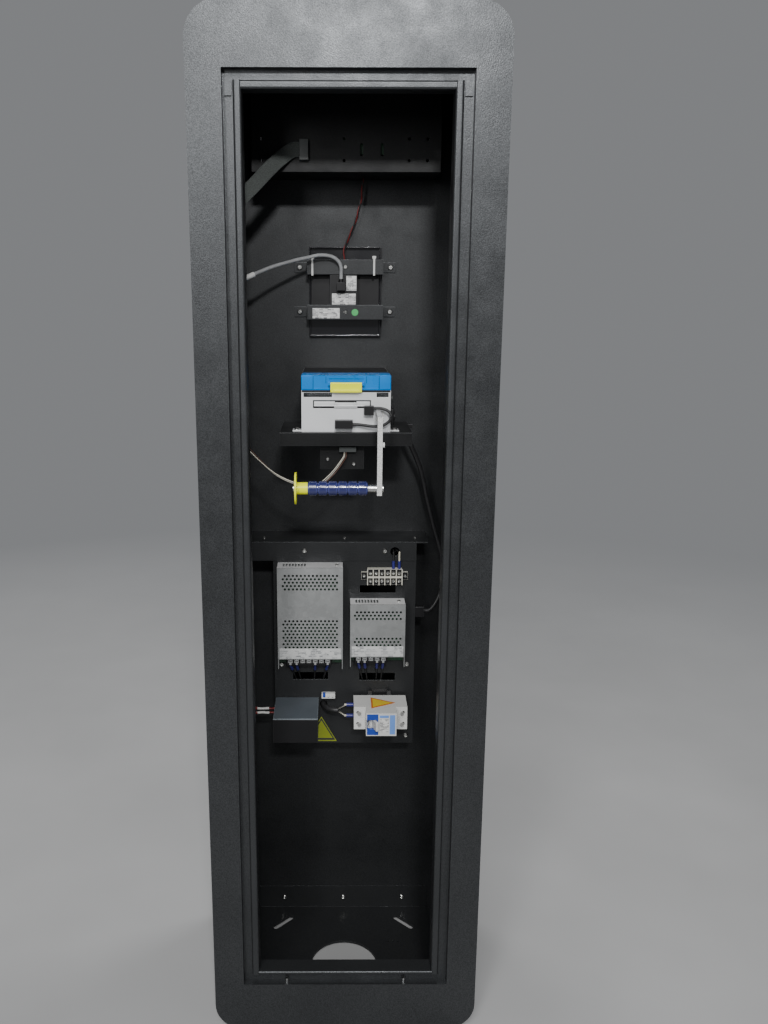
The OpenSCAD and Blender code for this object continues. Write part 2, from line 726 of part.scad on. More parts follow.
module cross_shelf() color(dark_paint) difference() {
  union() {
    block([-side_x, rail_y, rail_z - sheet], [rail_x1, wall_y, rail_z]);
    block([-side_x, rail_y, rail_z - rail_h], [plate_w / 2, plate_y, rail_z - cut]);
    block([-side_x, off(sheet), rail_z - rail_h], [rail_x1, wall_y, rail_z - cut]);
  }
  rod_y(rail_y - cut, plate_y + cut, grommet_r, grommet_x, grommet_z);
}

module equipment_plate() color(dark_paint) difference() {
  union() {
    block([-plate_w / 2, plate_y, plate_z0], [plate_w / 2, plate_y + sheet, plate_z1]);
    for (s = [-1, 1])
      slab_x(s * (plate_w - sheet) / 2, sheet, plate_y, plate_y + plate_lip, plate_z0, plate_z1 - 20);
  }
  for (k = lead_slots)
    block([k[0], plate_y - cut, plate_z1 + k[2] - lead_slot_h],
          [k[1], plate_y + sheet + cut, plate_z1 + k[2]]);
  rod_y(plate_y - cut, plate_y + sheet + cut, grommet_r, grommet_x, grommet_z);
  rod_y(plate_y - cut, plate_y + sheet + cut, mains_r + 1.5, mains_x, breaker_z);
}

standoff_x = 96;
standoff_zs = [plate_z0 + 13, plate_z1 - 193];

module plate_standoffs() color(steel)
  for (s = [-1, 1], z = standoff_zs) rod_y(plate_y + sheet, wall_y, 5, s * standoff_x, z);

// ---- Power supplies ----

psu_a_x = -51.4;                       // middle of the large supply
psu_b_x = 49.2;                        // middle of the small supply
psu_a_z = plate_z1 - 30 - psu_a_h;     // lower ends
psu_b_z = plate_z1 - 86.5 - psu_b_h;
psu_t = 1.2;
psu_open = 16;                         // uncovered length at the terminals
hex_r = 1.9;
hex_pitch = 5.9;
hex_row = 5.2;
terminal_pitch = 9.4;

module psu_case(x, z, w, h) color(steel) difference() {
  y0 = plate_y - psu_d + psu_t;
  block([x - w / 2, y0, z], [x + w / 2, plate_y, z + h]);
  block([x - w / 2 + psu_t, y0 - cut, z - cut], [x + w / 2 - psu_t, plate_y - psu_t, z + h - psu_t]);
  for (i = [0 : 7]) block([x - w / 2 + 8 + i * 4.5, y0 + 8, z + h - 2 * psu_t],
                          [x - w / 2 + 10.5 + i * 4.5, plate_y - 6, z + h + cut]);
}

// Perforated cover. rows_lo and rows_hi are the rows at each end of the plain label area
module psu_cover(x, z, w, h, rows_lo, rows_hi) {
  per_row = floor((w - 10) / hex_pitch);
  function row_x(i, k) = (k - (per_row - 1) / 2) * hex_pitch + (i % 2 == 0 ? 1 : -1) * hex_pitch / 4;
  color(steel) slab(plate_y - psu_d, plate_y - psu_d + psu_t) difference() {
    translate([x - w / 2, z + psu_open]) square([w, h - psu_open]);
    for (i = [0 : rows_lo - 1], k = [0 : per_row - 1])
      translate([x + row_x(i, k), z + psu_open + 19 + i * hex_row]) circle(hex_r, $fn = 6);
    for (i = [0 : rows_hi - 1], k = [0 : per_row - 1])
      translate([x + row_x(i, k), z + h - 12 - i * hex_row]) circle(hex_r, $fn = 6);
  }
}

// Circuit board with its transformer, capacitors and terminal strip
module psu_board(x, z, w, h, terminals, first_x) color("#2c4a35") {
  y1 = plate_y - 6;
  inner = w / 2 - psu_t - gap;
  block([x - inner, y1 - 1.6, z + 2], [x + inner, y1, z + h - 6]);
  for (s = [-1, 1]) rod_y(y1, plate_y - psu_t, 2.5, x + s * (inner - 6), z + h / 2);
  block([x - 18, y1 - 19, z + h * 0.55], [x + 14, y1 - 1.6, z + h * 0.8]);
  for (s = [-1, 1]) rod_y(y1 - 17, y1 - 1.6, 7, x + s * 28, z + h * 0.4);
  block([first_x - 6, y1 - 15, z + 3], [first_x + (terminals - 1) * terminal_pitch + 6, y1 - 1.6, z + 15]);
  for (i = [0 : terminals]) block([first_x + (i - 0.5) * terminal_pitch - 0.6, y1 - 18, z + 3],
                                  [first_x + (i - 0.5) * terminal_pitch + 0.6, y1 - 14, z + 15]);
}

terms_a = 7;
terms_b = 5;
term_a_x = psu_a_x - 30.5;             // first terminal of each supply
term_b_x = psu_b_x - 28.2;

module psu_large_case() psu_case(psu_a_x, psu_a_z, psu_a_w, psu_a_h);
module psu_large_cover() psu_cover(psu_a_x, psu_a_z, psu_a_w, psu_a_h, 9, 5);
module psu_large_board() psu_board(psu_a_x, psu_a_z, psu_a_w, psu_a_h, terms_a, term_a_x);
module psu_small_case() psu_case(psu_b_x, psu_b_z, psu_b_w, psu_b_h);
module psu_small_cover() psu_cover(psu_b_x, psu_b_z, psu_b_w, psu_b_h, 3, 3);
module psu_small_board() psu_board(psu_b_x, psu_b_z, psu_b_w, psu_b_h, terms_b, term_b_x);

// ---- Terminal block ----

block_x0 = 34;
block_z0 = plate_z1 - 62;
block_h = 24;
block_cols = 6;
block_pitch = 8.6;

module terminal_block() color("#e4e2d8") {
  x1 = block_x0 + block_cols * block_pitch;
  block([block_x0 - 9, plate_y - 4, block_z0 + 6], [x1 + 9, plate_y, block_z0 + 18]);
  block([block_x0, plate_y - 10, block_z0], [x1, plate_y, block_z0 + block_h]);
  for (i = [0 : block_cols]) block([block_x0 + i * block_pitch - 0.6, plate_y - 13, block_z0],
                                   [block_x0 + i * block_pitch + 0.6, plate_y - 9, block_z0 + block_h]);
  block([block_x0, plate_y - 13, block_z0 + block_h / 2 - 1], [x1, plate_y - 9, block_z0 + block_h / 2 + 1]);
}

// ---- Breaker ----

breaker_x = 54;                        // middle of the breaker and of its rail
breaker_z = plate_z0 + 66;
rail_d = 7.5;
rail_face = 35;
rail_len = 50;
rail_t = 1;
rail_web = 12.5;
breaker_back = plate_y - rail_d - gap;
shoulder_y = plate_y - 50;
nose_y = plate_y - 72;
toggle_x = 40.5;
toggle_y = nose_y + 12;
toggle_r = 4.6;
toggle_pin = 1.2;
toggle_half = 7;
pocket_half = 8.5;                     // pocket that the toggle swings in
pocket_d = 19;
pole_line = 0.6;                       // line between the two poles
lean = 20;                             // lean of the toggle at rest, either side of straight
insert_x0 = 33;
insert_x1 = 49.5;
insert_t = 5;
term_x = 34;                           // distance of a screw hole from the breaker's middle

// Top-hat section of the rail, open towards the breaker
module rail2d() {
  half = rail_face / 2;
  translate([-rail_web, -rail_t]) square([2 * rail_web, rail_t]);
  for (s = [0, 1]) mirror([s, 0]) {
    translate([rail_web - rail_t, -rail_d]) square([rail_t, rail_d]);
    translate([rail_web - rail_t, -rail_d]) square([half - rail_web + rail_t, rail_t]);
  }
}

module din_rail() color(steel)
  translate([breaker_x, plate_y, breaker_z - rail_len / 2]) linear_extrude(rail_len) rail2d();

module breaker_body() color("#e9e9e6") difference() {
  x0 = breaker_x - breaker_len / 2;
  z0 = breaker_z - pole_w;
  z1 = breaker_z + pole_w;
  union() {
    difference() {
      union() {
        block([x0, shoulder_y, z0], [x0 + breaker_len, breaker_back, z1]);
        block([breaker_x - nose_len / 2, nose_y, z0], [breaker_x + nose_len / 2, shoulder_y + cut, z1]);
      }
      // Well for the coloured insert, and the toggle's pocket behind it
      block([insert_x0 - 0.15, nose_y - cut, z0 + 1.35], [insert_x1 + 0.15, nose_y + insert_t, z1 - 1.35]);
      block([toggle_x - pocket_half, nose_y, breaker_z - toggle_half - 1],
            [toggle_x + pocket_half, nose_y + pocket_d, breaker_z + toggle_half + 1]);
    }
    rod_z(breaker_z - toggle_half - 2, breaker_z + toggle_half + 2, toggle_pin, toggle_x, toggle_y);
  }
  // Line between the poles
  line_w = (breaker_len - nose_len) / 2;
  for (s = [-1, 1])
    slab_x(breaker_x + s * (breaker_len / 2 + cut - line_w / 2), line_w,
           shoulder_y - cut, shoulder_y + 1, breaker_z - pole_line / 2, breaker_z + pole_line / 2);
  // Screw holes and wire entries
  for (sx = [-1, 1], sz = [-1, 1]) {
    rod_y(shoulder_y - cut, shoulder_y + 9, 2.6, breaker_x + sx * term_x, breaker_z + sz * pole_w / 2);
    rod_x(sx > 0 ? x0 + breaker_len - 8 : x0 - cut, sx > 0 ? x0 + breaker_len + cut : x0 + 8, 3.4,
          sleeve_y, breaker_z + sz * pole_w / 2);
  }
}

module breaker_insert() color("#2b6fd0") difference() {
  block([insert_x0, nose_y, breaker_z - pole_w + 1.5],
        [insert_x1, nose_y + insert_t, breaker_z + pole_w - 1.5]);
  block([toggle_x - 7.2, nose_y - cut, breaker_z - toggle_half - 0.5],
        [toggle_x + 7.2, nose_y + insert_t + cut, breaker_z + toggle_half + 0.5]);
}

module breaker_toggle() color("#f4f4f2") difference() {
  translate([toggle_x, toggle_y, breaker_z - toggle_half]) rotate(lean) union() {
    cylinder(h = 2 * toggle_half, r = toggle_r, $fn = small_fn);
    translate([-1.9, -toggle_len, 0]) cube([3.8, toggle_len, 2 * toggle_half]);
  }
  rod_z(breaker_z - toggle_half - cut, breaker_z + toggle_half + cut, toggle_pin + run_c, toggle_x, toggle_y);
}

// ---- Filter box ----

filter_w = 66;
filter_h = 36.5;
filter_d = 75;
filter_x0 = 1.3 - plate_w / 2;
filter_z = plate_z0 + 39;
filter_t = 1.5;

module filter_box() color("#1d1f22") difference() {
  block([filter_x0, plate_y - filter_d, filter_z], [filter_x0 + filter_w, plate_y, filter_z + filter_h]);
  block([filter_x0 + filter_t, plate_y - filter_d + filter_t, filter_z + filter_t],
        [filter_x0 + filter_w - filter_t, plate_y - filter_t, filter_z + filter_h + cut]);
}

module filter_lid() color("#8c99a5") {
  z1 = filter_z + filter_h;
  block([filter_x0, plate_y - filter_d, z1], [filter_x0 + filter_w, plate_y, z1 + filter_t]);
  block([filter_x0 + filter_t + gap, plate_y - filter_d + filter_t + gap, z1 - 3],
        [filter_x0 + filter_w - filter_t - gap, plate_y - filter_t - gap, z1 + 0.5]);
}

label_t = 0.4;
label_half = 24;
label_h = 42;

// Plain yellow triangles, on the plate and on top of the breaker
module caution_labels() color("#e8cf35") {
  slab(plate_y - label_t, plate_y) translate([filter_x0 + filter_w + 4.3, plate_z0 + 3])
    polygon([[-label_half, 0], [label_half, 0], [0, label_h]]);
  translate([breaker_x - 14, shoulder_y + 22, breaker_z + pole_w]) linear_extrude(label_t)
    polygon([[0, -15], [32, 0], [0, 15]]);
}

// ---- Sleeves and short leads ----

sleeve_r = 2.2;
sleeve_len = 12;
sleeve_y = plate_y - 22;
lead_r = 1.3;
used_a = [0, 1, 4, 6];                 // terminals in use
used_b = [0, 1, 3, 4];
mains_r = 4.5;
mains_x = -32;
mains_bend = 22;
upper_y = plate_y - 6.5;

used_block = [4, 5];                   // columns of the terminal block in use
lead_top = 1.5;                        // height of a sleeve's top over the supply's lower end
lead_behind = 10;                      // distance of its end behind the plate's face
lead_front = 16;                       // distance of its start in front of the plate's face
core_r = 1.6;                          // mains core
core_sleeve_r = 3;
core_sleeve_x = breaker_x - breaker_len / 2 - 11;
core_straight = 3;

// Ends of the lead on each used terminal of a supply. The leads draw together towards the
// middle of slot k and pass through it half way up
function slot_z(k) = plate_z1 + lead_slots[k][2] - lead_slot_h / 2;
function slot_x(k) = (lead_slots[k][0] + lead_slots[k][1]) / 2;
function lead_ends(used, first_x, z, k) = [for (i = used)
  let (x = first_x + i * terminal_pitch, z0 = z + lead_top)
  [[x, plate_y - lead_front, z0],
   [slot_x(k) + (x - slot_x(k)) * 0.7, plate_y + lead_behind,
    z0 + (slot_z(k) - z0) * (lead_front + lead_behind) / (lead_front + sheet / 2)]]];
supply_leads = concat(lead_ends(used_a, term_a_x, psu_a_z, 0), lead_ends(used_b, term_b_x, psu_b_z, 1));

// End of the sleeve on a lead
function sleeve_end(e) = e[0] + sleeve_len * unit(e[1] - e[0]);

module crimp_sleeves() color("#3046b8") {
  z1 = block_z0 + block_h;
  for (e = supply_leads) wire(e[0], sleeve_end(e), sleeve_r);
  for (i = used_block) rod_z(z1, z1 + sleeve_len, sleeve_r, block_x0 + (i + 0.5) * block_pitch, upper_y);
  for (s = [-1, 1])
    rod_x(core_sleeve_x, breaker_x - breaker_len / 2 + 3, core_sleeve_r,
          sleeve_y, breaker_z + s * pole_w / 2);
}

module power_leads() color(black) {
  for (e = supply_leads) wire(sleeve_end(e), e[1], lead_r);
  for (i = used_block) {
    x = block_x0 + (i + 0.5) * block_pitch;
    rod_z(block_z0 + block_h + sleeve_len, grommet_z + lead_r / 2, lead_r, x, upper_y);
    wire([x, upper_y, grommet_z], [grommet_x + (i - 4.5) * 4, plate_y + lead_behind, grommet_z], lead_r);
  }
  // Sheathed mains lead, bent from the plate to the breaker
  translate([mains_x + mains_bend, plate_y, breaker_z]) rotate([0, 0, 180])
    rotate_extrude(angle = 90, $fn = round_fn) translate([mains_bend, 0]) circle(mains_r, $fn = small_fn);
  rod_y(plate_y, plate_y + 2 * lead_behind, mains_r, mains_x, breaker_z);
  for (s = [-1, 1]) {
    z = breaker_z + s * pole_w / 2;
    wire([mains_x + mains_bend, plate_y - mains_bend, breaker_z + s * 2],
         [core_sleeve_x - core_straight + core_r / 2, sleeve_y, z], core_r);
    rod_x(core_sleeve_x - core_straight, core_sleeve_x, core_r, sleeve_y, z);
  }
}

filter_lead_zs = [22, 29];
filter_lead_y = plate_y - 20;

module filter_leads() color("#b83232")
  for (z = filter_lead_zs) {
    rod_x(filter_x0 - 7, filter_x0, 2.1, filter_lead_y, filter_z + z);
    rod_x(6 - side_x, filter_x0 - 7, 1.5, filter_lead_y, filter_z + z);
  }

// ---- Cords, with their points chosen by hand ----

// The route with its ends moved to a and b. The stretch at each end keeps its direction, and
// what lies between moves in proportion
function tied(p, a, b) = let (n = len(p) - 1)
  [for (i = [0 : n]) let (t = max(0, min(1, (i - 1) / (n - 2))))
    p[i] + (1 - t) * (a - p[0]) + t * (b - p[n])];

clip = 7;                              // reach of a clip from the wall
clip_x = clip - side_x;

reader_points = [
  [-6, 97, 1050], [-6, 97, 1057], [-6, 96, 1065], [-9, 95, 1073], [-16, 93, 1079], [-26, 91, 1082],
  [-39, 88, 1082], [-52, 84, 1079], [-66, 78, 1076], [-80, 70, 1072], [-94, 62, 1068], [-108, 54, 1063],
  [-122, 46, 1057], [-136, 39, 1051], [-151, 33, 1046], [-166, 30, 1043], [-176, 30, 1043]];
reader_wire = 2.6;
lead_points = [
  [24, 112, 1187], [24, 112, 1178], [23, 112, 1167], [21, 113, 1155], [18, 114, 1142], [14, 116, 1129],
  [9, 118, 1117], [4, 120, 1106], [0, 122, 1096], [-2, 123, 1087], [-2, 123, 1077]];
lead_wire = 1.8;
loom_points = [
  [-62, 31, 1214], [-69, 31, 1214], [-77, 29, 1210], [-89, 22, 1200], [-102, 15, 1187],
  [-116, 9, 1172], [-130, 5, 1158], [-145, 2, 1145], [-159, 0, 1135], [-169, 0, 1132], [-176, 0, 1132]];
loom_half = [9.5, 1.2];
sensor_points = [
  [-176, 5, 866], [-169, 5, 866], [-158, 1, 855], [-146, -6, 839], [-131, -14, 823], [-114, -22, 807],
  [-96, -29, 793], [-78, -34, 784], [-62, -36, 779], [-47, -36, 777], [-34, -34, 780],
  [-23, -30, 788], [-13, -24, 798], [-5, -17, 808], [-1, -12, 814], [-1, -12, 820]];
sensor_half = [2.6, 1.3];
side_points = [
  [91, 78, 839], [91, 78, 831], [96, 81, 815], [104, 87, 797], [112, 93, 777], [118, 97, 755],
  [123, 99, 732], [129, 100, 709], [135, 100, 686], [142, 100, 663], [148, 100, 640], [151, 98, 617],
  [150, 95, 597], [145, 91, 579], [137, 86, 565], [129, 83, 558], [121, 83, 558]];
side_wire = 3.5;
printer_points = [
  [9, -23, 859], [16, -23, 859], [26, -25, 858], [37, -27, 857], [47, -28, 858], [54, -28, 861],
  [59, -28, 866], [60, -28, 872], [57, -27, 877], [51, -26, 880], [44, -24, 881], [37, -24, 881]];
printer_wire = 2;

reader_route = tied(reader_points, [plug_x, off(36), plug_z1], [clip_x, off(103), reader_z + 8]);
lead_route = tied(lead_points, [24, off(21), housing_z0], [-2, off(10), reader_z + 42]);
loom_route = tied(loom_points, [socket_x, off(housing_d + socket_t / 2), socket_z],
                  [clip_x, off(133), reader_z + 97]);
sensor_route = tied(sensor_points, [clip_x, off(128), shelf_z + 18], [-1, sensor_y - 5, shelf_z - 28]);
side_route = tied(side_points, [91, off(55), shelf_z - shelf_t - clip],
                  [plate_w / 2 + 2 * clip, plate_y + 12, plate_z1 - 110]);
printer_route = tied(printer_points, [9, rear_p - 6, body_z + 11], [37, rear_p - 7, body_z + 33]);

module reader_cable() color("#9aa0a3") sweep(reader_route, reader_wire, reader_wire, [0, 1, 0], 8);
module display_lead() color("#8f1d1d") sweep(lead_route, lead_wire, lead_wire, [0, 1, 0], 8);
module flat_loom() color("#5d6461") sweep(loom_route, loom_half[0], loom_half[1], [0, 1, 0], 8);
module sensor_wires() color("#b7a878") sweep(sensor_route, sensor_half[0], sensor_half[1], [0, 1, 0], 8);
module printer_cable() color(black) sweep(printer_route, printer_wire, printer_wire, [0, 0, 1], 8);
module side_cable() color(black) sweep(side_route, side_wire, side_wire, [0, 1, 0], 8);

module cable_clips() color(black) {
  side_end = side_route[len(side_route) - 1];
  for (p = [reader_route[len(reader_route) - 1], loom_route[len(loom_route) - 1], sensor_route[0]])
    block([-side_x, p.y - 6, p.z - 12], [p.x, p.y + 6, p.z + 12]);
  block([-side_x, filter_lead_y - 5, filter_z + 15], [6 - side_x, filter_lead_y + 5, filter_z + 36]);
  block([84, side_route[0].y - 6, shelf_z - shelf_t - clip], [98, side_route[0].y + 4, shelf_z - shelf_t]);
  block([plate_w / 2, side_end.y - 8, side_end.z - 8], [side_end.x, side_end.y + 4, side_end.z + 8]);
}

// ---- Screws ----

m4_r = 3.8;
m4_h = 2.6;
m3_r = 2.7;
m3_h = 1.9;

// Pan head with a crossed recess, pointing along -Y from its seat at y
module pan_head(r, h) difference() {
  union() {
    cylinder(h = h * 0.55, r = r, $fn = small_fn);
    translate([0, 0, h * 0.55]) cylinder(h = h * 0.45, r1 = r, r2 = r * 0.7, $fn = small_fn);
  }
  for (a = [0, 90]) rotate(a) translate([-r * 0.55, -r * 0.11, h * 0.5]) cube([r * 1.1, r * 0.22, h]);
}
module head_y(x, y, z, r, h) translate([x, y, z]) rotate([90, 0, 0]) pan_head(r, h);
module head_z(x, y, z, r, h) translate([x, y, z]) pan_head(r, h);

kick_xs = [-100, 0, 100];

module m4_screws() color("#d8d9da") {
  for (x = kick_xs) head_y(x, off(sheet), sheet + 22, m4_r, m4_h);
  for (s = [-1, 1], z = [housing_z0 + 16, housing_z1 - 16])
    head_y(s * (housing_w / 2 + housing_tab / 2), off(housing_t), z, m4_r, m4_h);
  for (s = [-1, 1], e = [-1, 1])
    head_y(e * (bar_len / 2 + 11.5), off(bar_leg), reader_z + s * bar_pitch / 2, m4_r, m4_h);
  for (s = [-1, 1]) {
    head_y(s * 60, rail_y, rail_z - 13.5, m4_r, m4_h);
    head_y(s * 40, off(shelf_t), shelf_z - 16, m4_r, m4_h);
    head_z(s * (half_p + 6.5), rear_p + 13, body_z + 1.5, m4_r, m4_h);
    for (z = standoff_zs) head_y(s * standoff_x, plate_y, z, m4_r, m4_h);
  }
}

module m3_screws() color("#cfd0d1") {
  for (x = [-121, 0, 106]) head_z(x, rail_y + 21, rail_z, m3_r, m3_h);
  for (s = [-1, 1]) head_y(0, off(bar_face), reader_z + s * bar_pitch / 2, m3_r, m3_h);
  for (p = [[-25, 39], [11, 46]]) head_y(p[0], sensor_y, shelf_z - p[1], m3_r, m3_h);
  for (i = [0 : terms_a - 1]) head_y(term_a_x + i * terminal_pitch, plate_y - 21, psu_a_z + 9, m3_r, m3_h);
  for (i = [0 : terms_b - 1]) head_y(term_b_x + i * terminal_pitch, plate_y - 21, psu_b_z + 9, m3_r, m3_h);
  for (i = [0 : block_cols - 1], z = [6, 18])
    head_y(block_x0 + (i + 0.5) * block_pitch, plate_y - 10, block_z0 + z, m3_r, m3_h);
  for (x = [block_x0 - 5, block_x0 + block_cols * block_pitch + 5])
    head_y(x, plate_y - 4, block_z0 + block_h / 2, m3_r, m3_h);
  head_z(psu_a_x + psu_a_w / 2 - 9, plate_y - 15, psu_a_z + psu_a_h, m3_r, m3_h);
  head_z(psu_b_x + psu_b_w / 2 - 9, plate_y - 15, psu_b_z + psu_b_h, m3_r, m3_h);
}

cabinet_shell();
service_frame();
door_pegs();
front_panel();
base_plate();
display_housing();
display_panel();
touch_glass();
controller_board();
loom_socket();
reader_window();
reader_body();
reader_bars();
reader_ties();
reader_plug();
printer_shelf();
printer_body();
printer_cover();
cover_hinge_pin();
cover_latch();
platen_roller();
print_head();
paper_cutter();
printer_plugs();
receipt_bezel();
paper_arm();
spindle_shaft();
spindle_core();
spindle_flange();
sensor_bracket();
sensor_connector();
cross_shelf();
equipment_plate();
plate_standoffs();
psu_large_case();
psu_large_cover();
psu_large_board();
psu_small_case();
psu_small_cover();
psu_small_board();
terminal_block();
crimp_sleeves();
power_leads();
din_rail();
breaker_body();
breaker_insert();
breaker_toggle();
filter_box();
filter_lid();
filter_leads();
caution_labels();
cable_clips();
m4_screws();
m3_screws();
reader_cable();
display_lead();
flat_loom();
sensor_wires();
printer_cable();
side_cable();
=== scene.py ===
"""Looks of a slim parking pay station, seen from its open service side."""

import math

import bmesh
import bpy
from mathutils import Matrix, Vector


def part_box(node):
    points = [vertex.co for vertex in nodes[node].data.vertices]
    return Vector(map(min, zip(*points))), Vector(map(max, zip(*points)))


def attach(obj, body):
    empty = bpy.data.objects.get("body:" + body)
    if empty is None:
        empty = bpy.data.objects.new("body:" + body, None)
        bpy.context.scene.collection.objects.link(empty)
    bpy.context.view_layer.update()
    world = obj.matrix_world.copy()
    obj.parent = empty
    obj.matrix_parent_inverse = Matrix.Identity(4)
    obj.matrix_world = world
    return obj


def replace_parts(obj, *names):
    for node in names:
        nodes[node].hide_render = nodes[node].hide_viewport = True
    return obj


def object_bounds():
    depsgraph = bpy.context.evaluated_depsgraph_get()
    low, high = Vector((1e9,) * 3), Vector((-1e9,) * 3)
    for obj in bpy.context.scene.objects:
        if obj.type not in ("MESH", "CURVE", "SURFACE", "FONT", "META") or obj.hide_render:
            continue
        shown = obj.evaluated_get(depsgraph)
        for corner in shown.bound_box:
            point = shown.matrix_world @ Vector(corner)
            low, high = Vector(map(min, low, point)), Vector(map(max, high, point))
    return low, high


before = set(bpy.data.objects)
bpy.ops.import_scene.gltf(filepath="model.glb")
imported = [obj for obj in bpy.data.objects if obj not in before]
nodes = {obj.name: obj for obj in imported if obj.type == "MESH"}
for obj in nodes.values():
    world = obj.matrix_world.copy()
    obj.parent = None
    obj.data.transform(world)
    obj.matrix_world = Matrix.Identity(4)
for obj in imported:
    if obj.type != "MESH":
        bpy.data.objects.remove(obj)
cad_low, cad_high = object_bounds()

# ---- Camera ----

CAMERA_AT = Vector((-0.018, -1.271, 1.038))
CAMERA_TURN = -0.3          # degrees about Z
CAMERA_TILT = 76.64         # degrees from straight down
CAMERA_ROLL = 0.08
SENSOR = 36.0
LENS = 32.84
SHIFT = (0.0455, -0.0025)   # the object stands a little left of the picture's middle


def make_camera():
    """Stands the camera in front of the open service side."""
    camera = bpy.data.objects.new("camera", bpy.data.cameras.new("camera"))
    camera.data.sensor_width = SENSOR
    camera.data.lens = LENS
    camera.data.shift_x, camera.data.shift_y = SHIFT
    camera.data.clip_start = 0.02
    camera.matrix_world = (
        Matrix.Translation(CAMERA_AT)
        @ Matrix.Rotation(math.radians(CAMERA_TURN), 4, "Z")
        @ Matrix.Rotation(math.radians(CAMERA_TILT), 4, "X")
        @ Matrix.Rotation(math.radians(CAMERA_ROLL), 4, "Z")
    )
    bpy.context.scene.collection.objects.link(camera)
    bpy.context.scene.camera = camera


make_camera()

# ---- Materials ----


class Surface:
    """A Principled material under construction, with short calls for its nodes."""

    def __init__(self, name, rough=0.5, metal=0.0, **inputs):
        self.material = bpy.data.materials.new(name)
        self.material.use_nodes = True
        self.tree = self.material.node_tree
        self.bsdf = self.tree.nodes["Principled BSDF"]
        self.bsdf.inputs["Roughness"].default_value = rough
        self.bsdf.inputs["Metallic"].default_value = metal
        for key, value in inputs.items():
            self.bsdf.inputs[key.replace("_", " ")].default_value = value
        self.coords = self.tree.nodes.new("ShaderNodeTexCoord").outputs["Object"]

    def node(self, kind, **settings):
        made = self.tree.nodes.new(kind)
        for key, value in settings.items():
            setattr(made, key, value)
        return made

    def scaled(self, scale):
        mapping = self.node("ShaderNodeMapping")
        mapping.inputs["Scale"].default_value = scale
        self.tree.links.new(self.coords, mapping.inputs["Vector"])
        return mapping.outputs["Vector"]

    def turned(self, rotation):
        mapping = self.node("ShaderNodeMapping")
        mapping.inputs["Rotation"].default_value = rotation
        self.tree.links.new(self.coords, mapping.inputs["Vector"])
        return mapping.outputs["Vector"]

    def noise(self, scale, detail=2.0, stretch=(1, 1, 1)):
        made = self.node("ShaderNodeTexNoise")
        made.inputs["Scale"].default_value = scale
        made.inputs["Detail"].default_value = detail
        self.tree.links.new(self.scaled(stretch), made.inputs["Vector"])
        return made.outputs["Fac"]

    def cells(self, scale):
        made = self.node("ShaderNodeTexVoronoi")
        made.inputs["Scale"].default_value = scale
        self.tree.links.new(self.scaled((1, 1, 1)), made.inputs["Vector"])
        return made

    def ramp(self, fac, stops):
        made = self.node("ShaderNodeValToRGB")
        ramp = made.color_ramp
        while len(ramp.elements) < len(stops):
            ramp.elements.new(0.5)
        for element, (place, colour) in zip(ramp.elements, stops):
            element.position = place
            element.color = (*colour, 1)
        self.tree.links.new(fac, made.inputs["Fac"])
        return made.outputs["Color"]

    def drift(self, scale, detail, colour, low, high):
        """A colour that wanders between two tints of itself."""
        return self.ramp(self.noise(scale, detail), [(0.3, tint(colour, low)), (0.7, tint(colour, high))])

    def remap(self, fac, low, high, from_low=0.35, from_high=0.65):
        made = self.node("ShaderNodeMapRange")
        made.inputs["From Min"].default_value = from_low
        made.inputs["From Max"].default_value = from_high
        made.inputs["To Min"].default_value = low
        made.inputs["To Max"].default_value = high
        self.tree.links.new(fac, made.inputs["Value"])
        return made.outputs["Result"]

    def mix(self, fac, a, b, blend="MIX"):
        made = self.node("ShaderNodeMix", data_type="RGBA", blend_type=blend)
        for value, socket in ((fac, 0), (a, 6), (b, 7)):
            if isinstance(value, bpy.types.NodeSocket):
                self.tree.links.new(value, made.inputs[socket])
            elif socket:
                made.inputs[socket].default_value = (*value, 1)
            else:
                made.inputs[socket].default_value = value
        return made.outputs[2]

    def set(self, **links):
        for key, value in links.items():
            self.tree.links.new(value, self.bsdf.inputs[key.replace("_", " ")])
        return self

    def bump(self, height, distance, strength=1.0):
        made = self.node("ShaderNodeBump")
        made.inputs["Strength"].default_value = strength
        made.inputs["Distance"].default_value = distance
        self.tree.links.new(height, made.inputs["Height"])
        self.tree.links.new(made.outputs["Normal"], self.bsdf.inputs["Normal"])
        return self


UPRIGHT = math.radians(90)  # turns a flat pattern up onto faces that look along Y


def tint(colour, factor):
    """A colour made lighter or darker by a factor."""
    return tuple(min(1.0, c * factor) for c in colour)


def powder_coat(name, colour, rough=(0.4, 0.52), peel=0.00012, metal=0.0, flake=0.29, **inputs):
    """Textured powder coat: an orange peel over a colour that wanders slightly, with fine flakes."""
    look = Surface(name, metal=metal, **inputs)
    tone = look.drift(7, 4, colour, 0.9, 1.08)
    speck = look.ramp(look.noise(1100, 1), [(0.35, (1 - flake,) * 3), (0.65, (1 + flake,) * 3)])
    look.set(Base_Color=look.mix(1.0, tone, speck, "MULTIPLY"))
    look.set(Roughness=look.remap(look.noise(30, 3), *rough))
    return look.bump(look.noise(720, 1.5), peel).material


def zinc(name, colour, rough=(0.3, 0.46), metal=0.85):
    """Zinc plated sheet: a faint spangle and fine rolling lines."""
    look = Surface(name, metal=metal)
    spangle = look.cells(130).outputs["Color"]
    grey = look.node("ShaderNodeRGBToBW")
    look.tree.links.new(spangle, grey.inputs["Color"])
    flakes = look.ramp(grey.outputs["Val"], [(0.0, tint(colour, 0.9)), (1.0, tint(colour, 1.06))])
    stain = look.ramp(look.noise(18, 4), [(0.3, (0.9, 0.9, 0.89)), (0.7, (1.0, 1.0, 1.0))])
    look.set(Base_Color=look.mix(1.0, flakes, stain, "MULTIPLY"))
    look.set(Roughness=look.remap(look.noise(45, 3), *rough))
    return look.bump(look.noise(400, 2, (1, 1, 9)), 0.00003).material


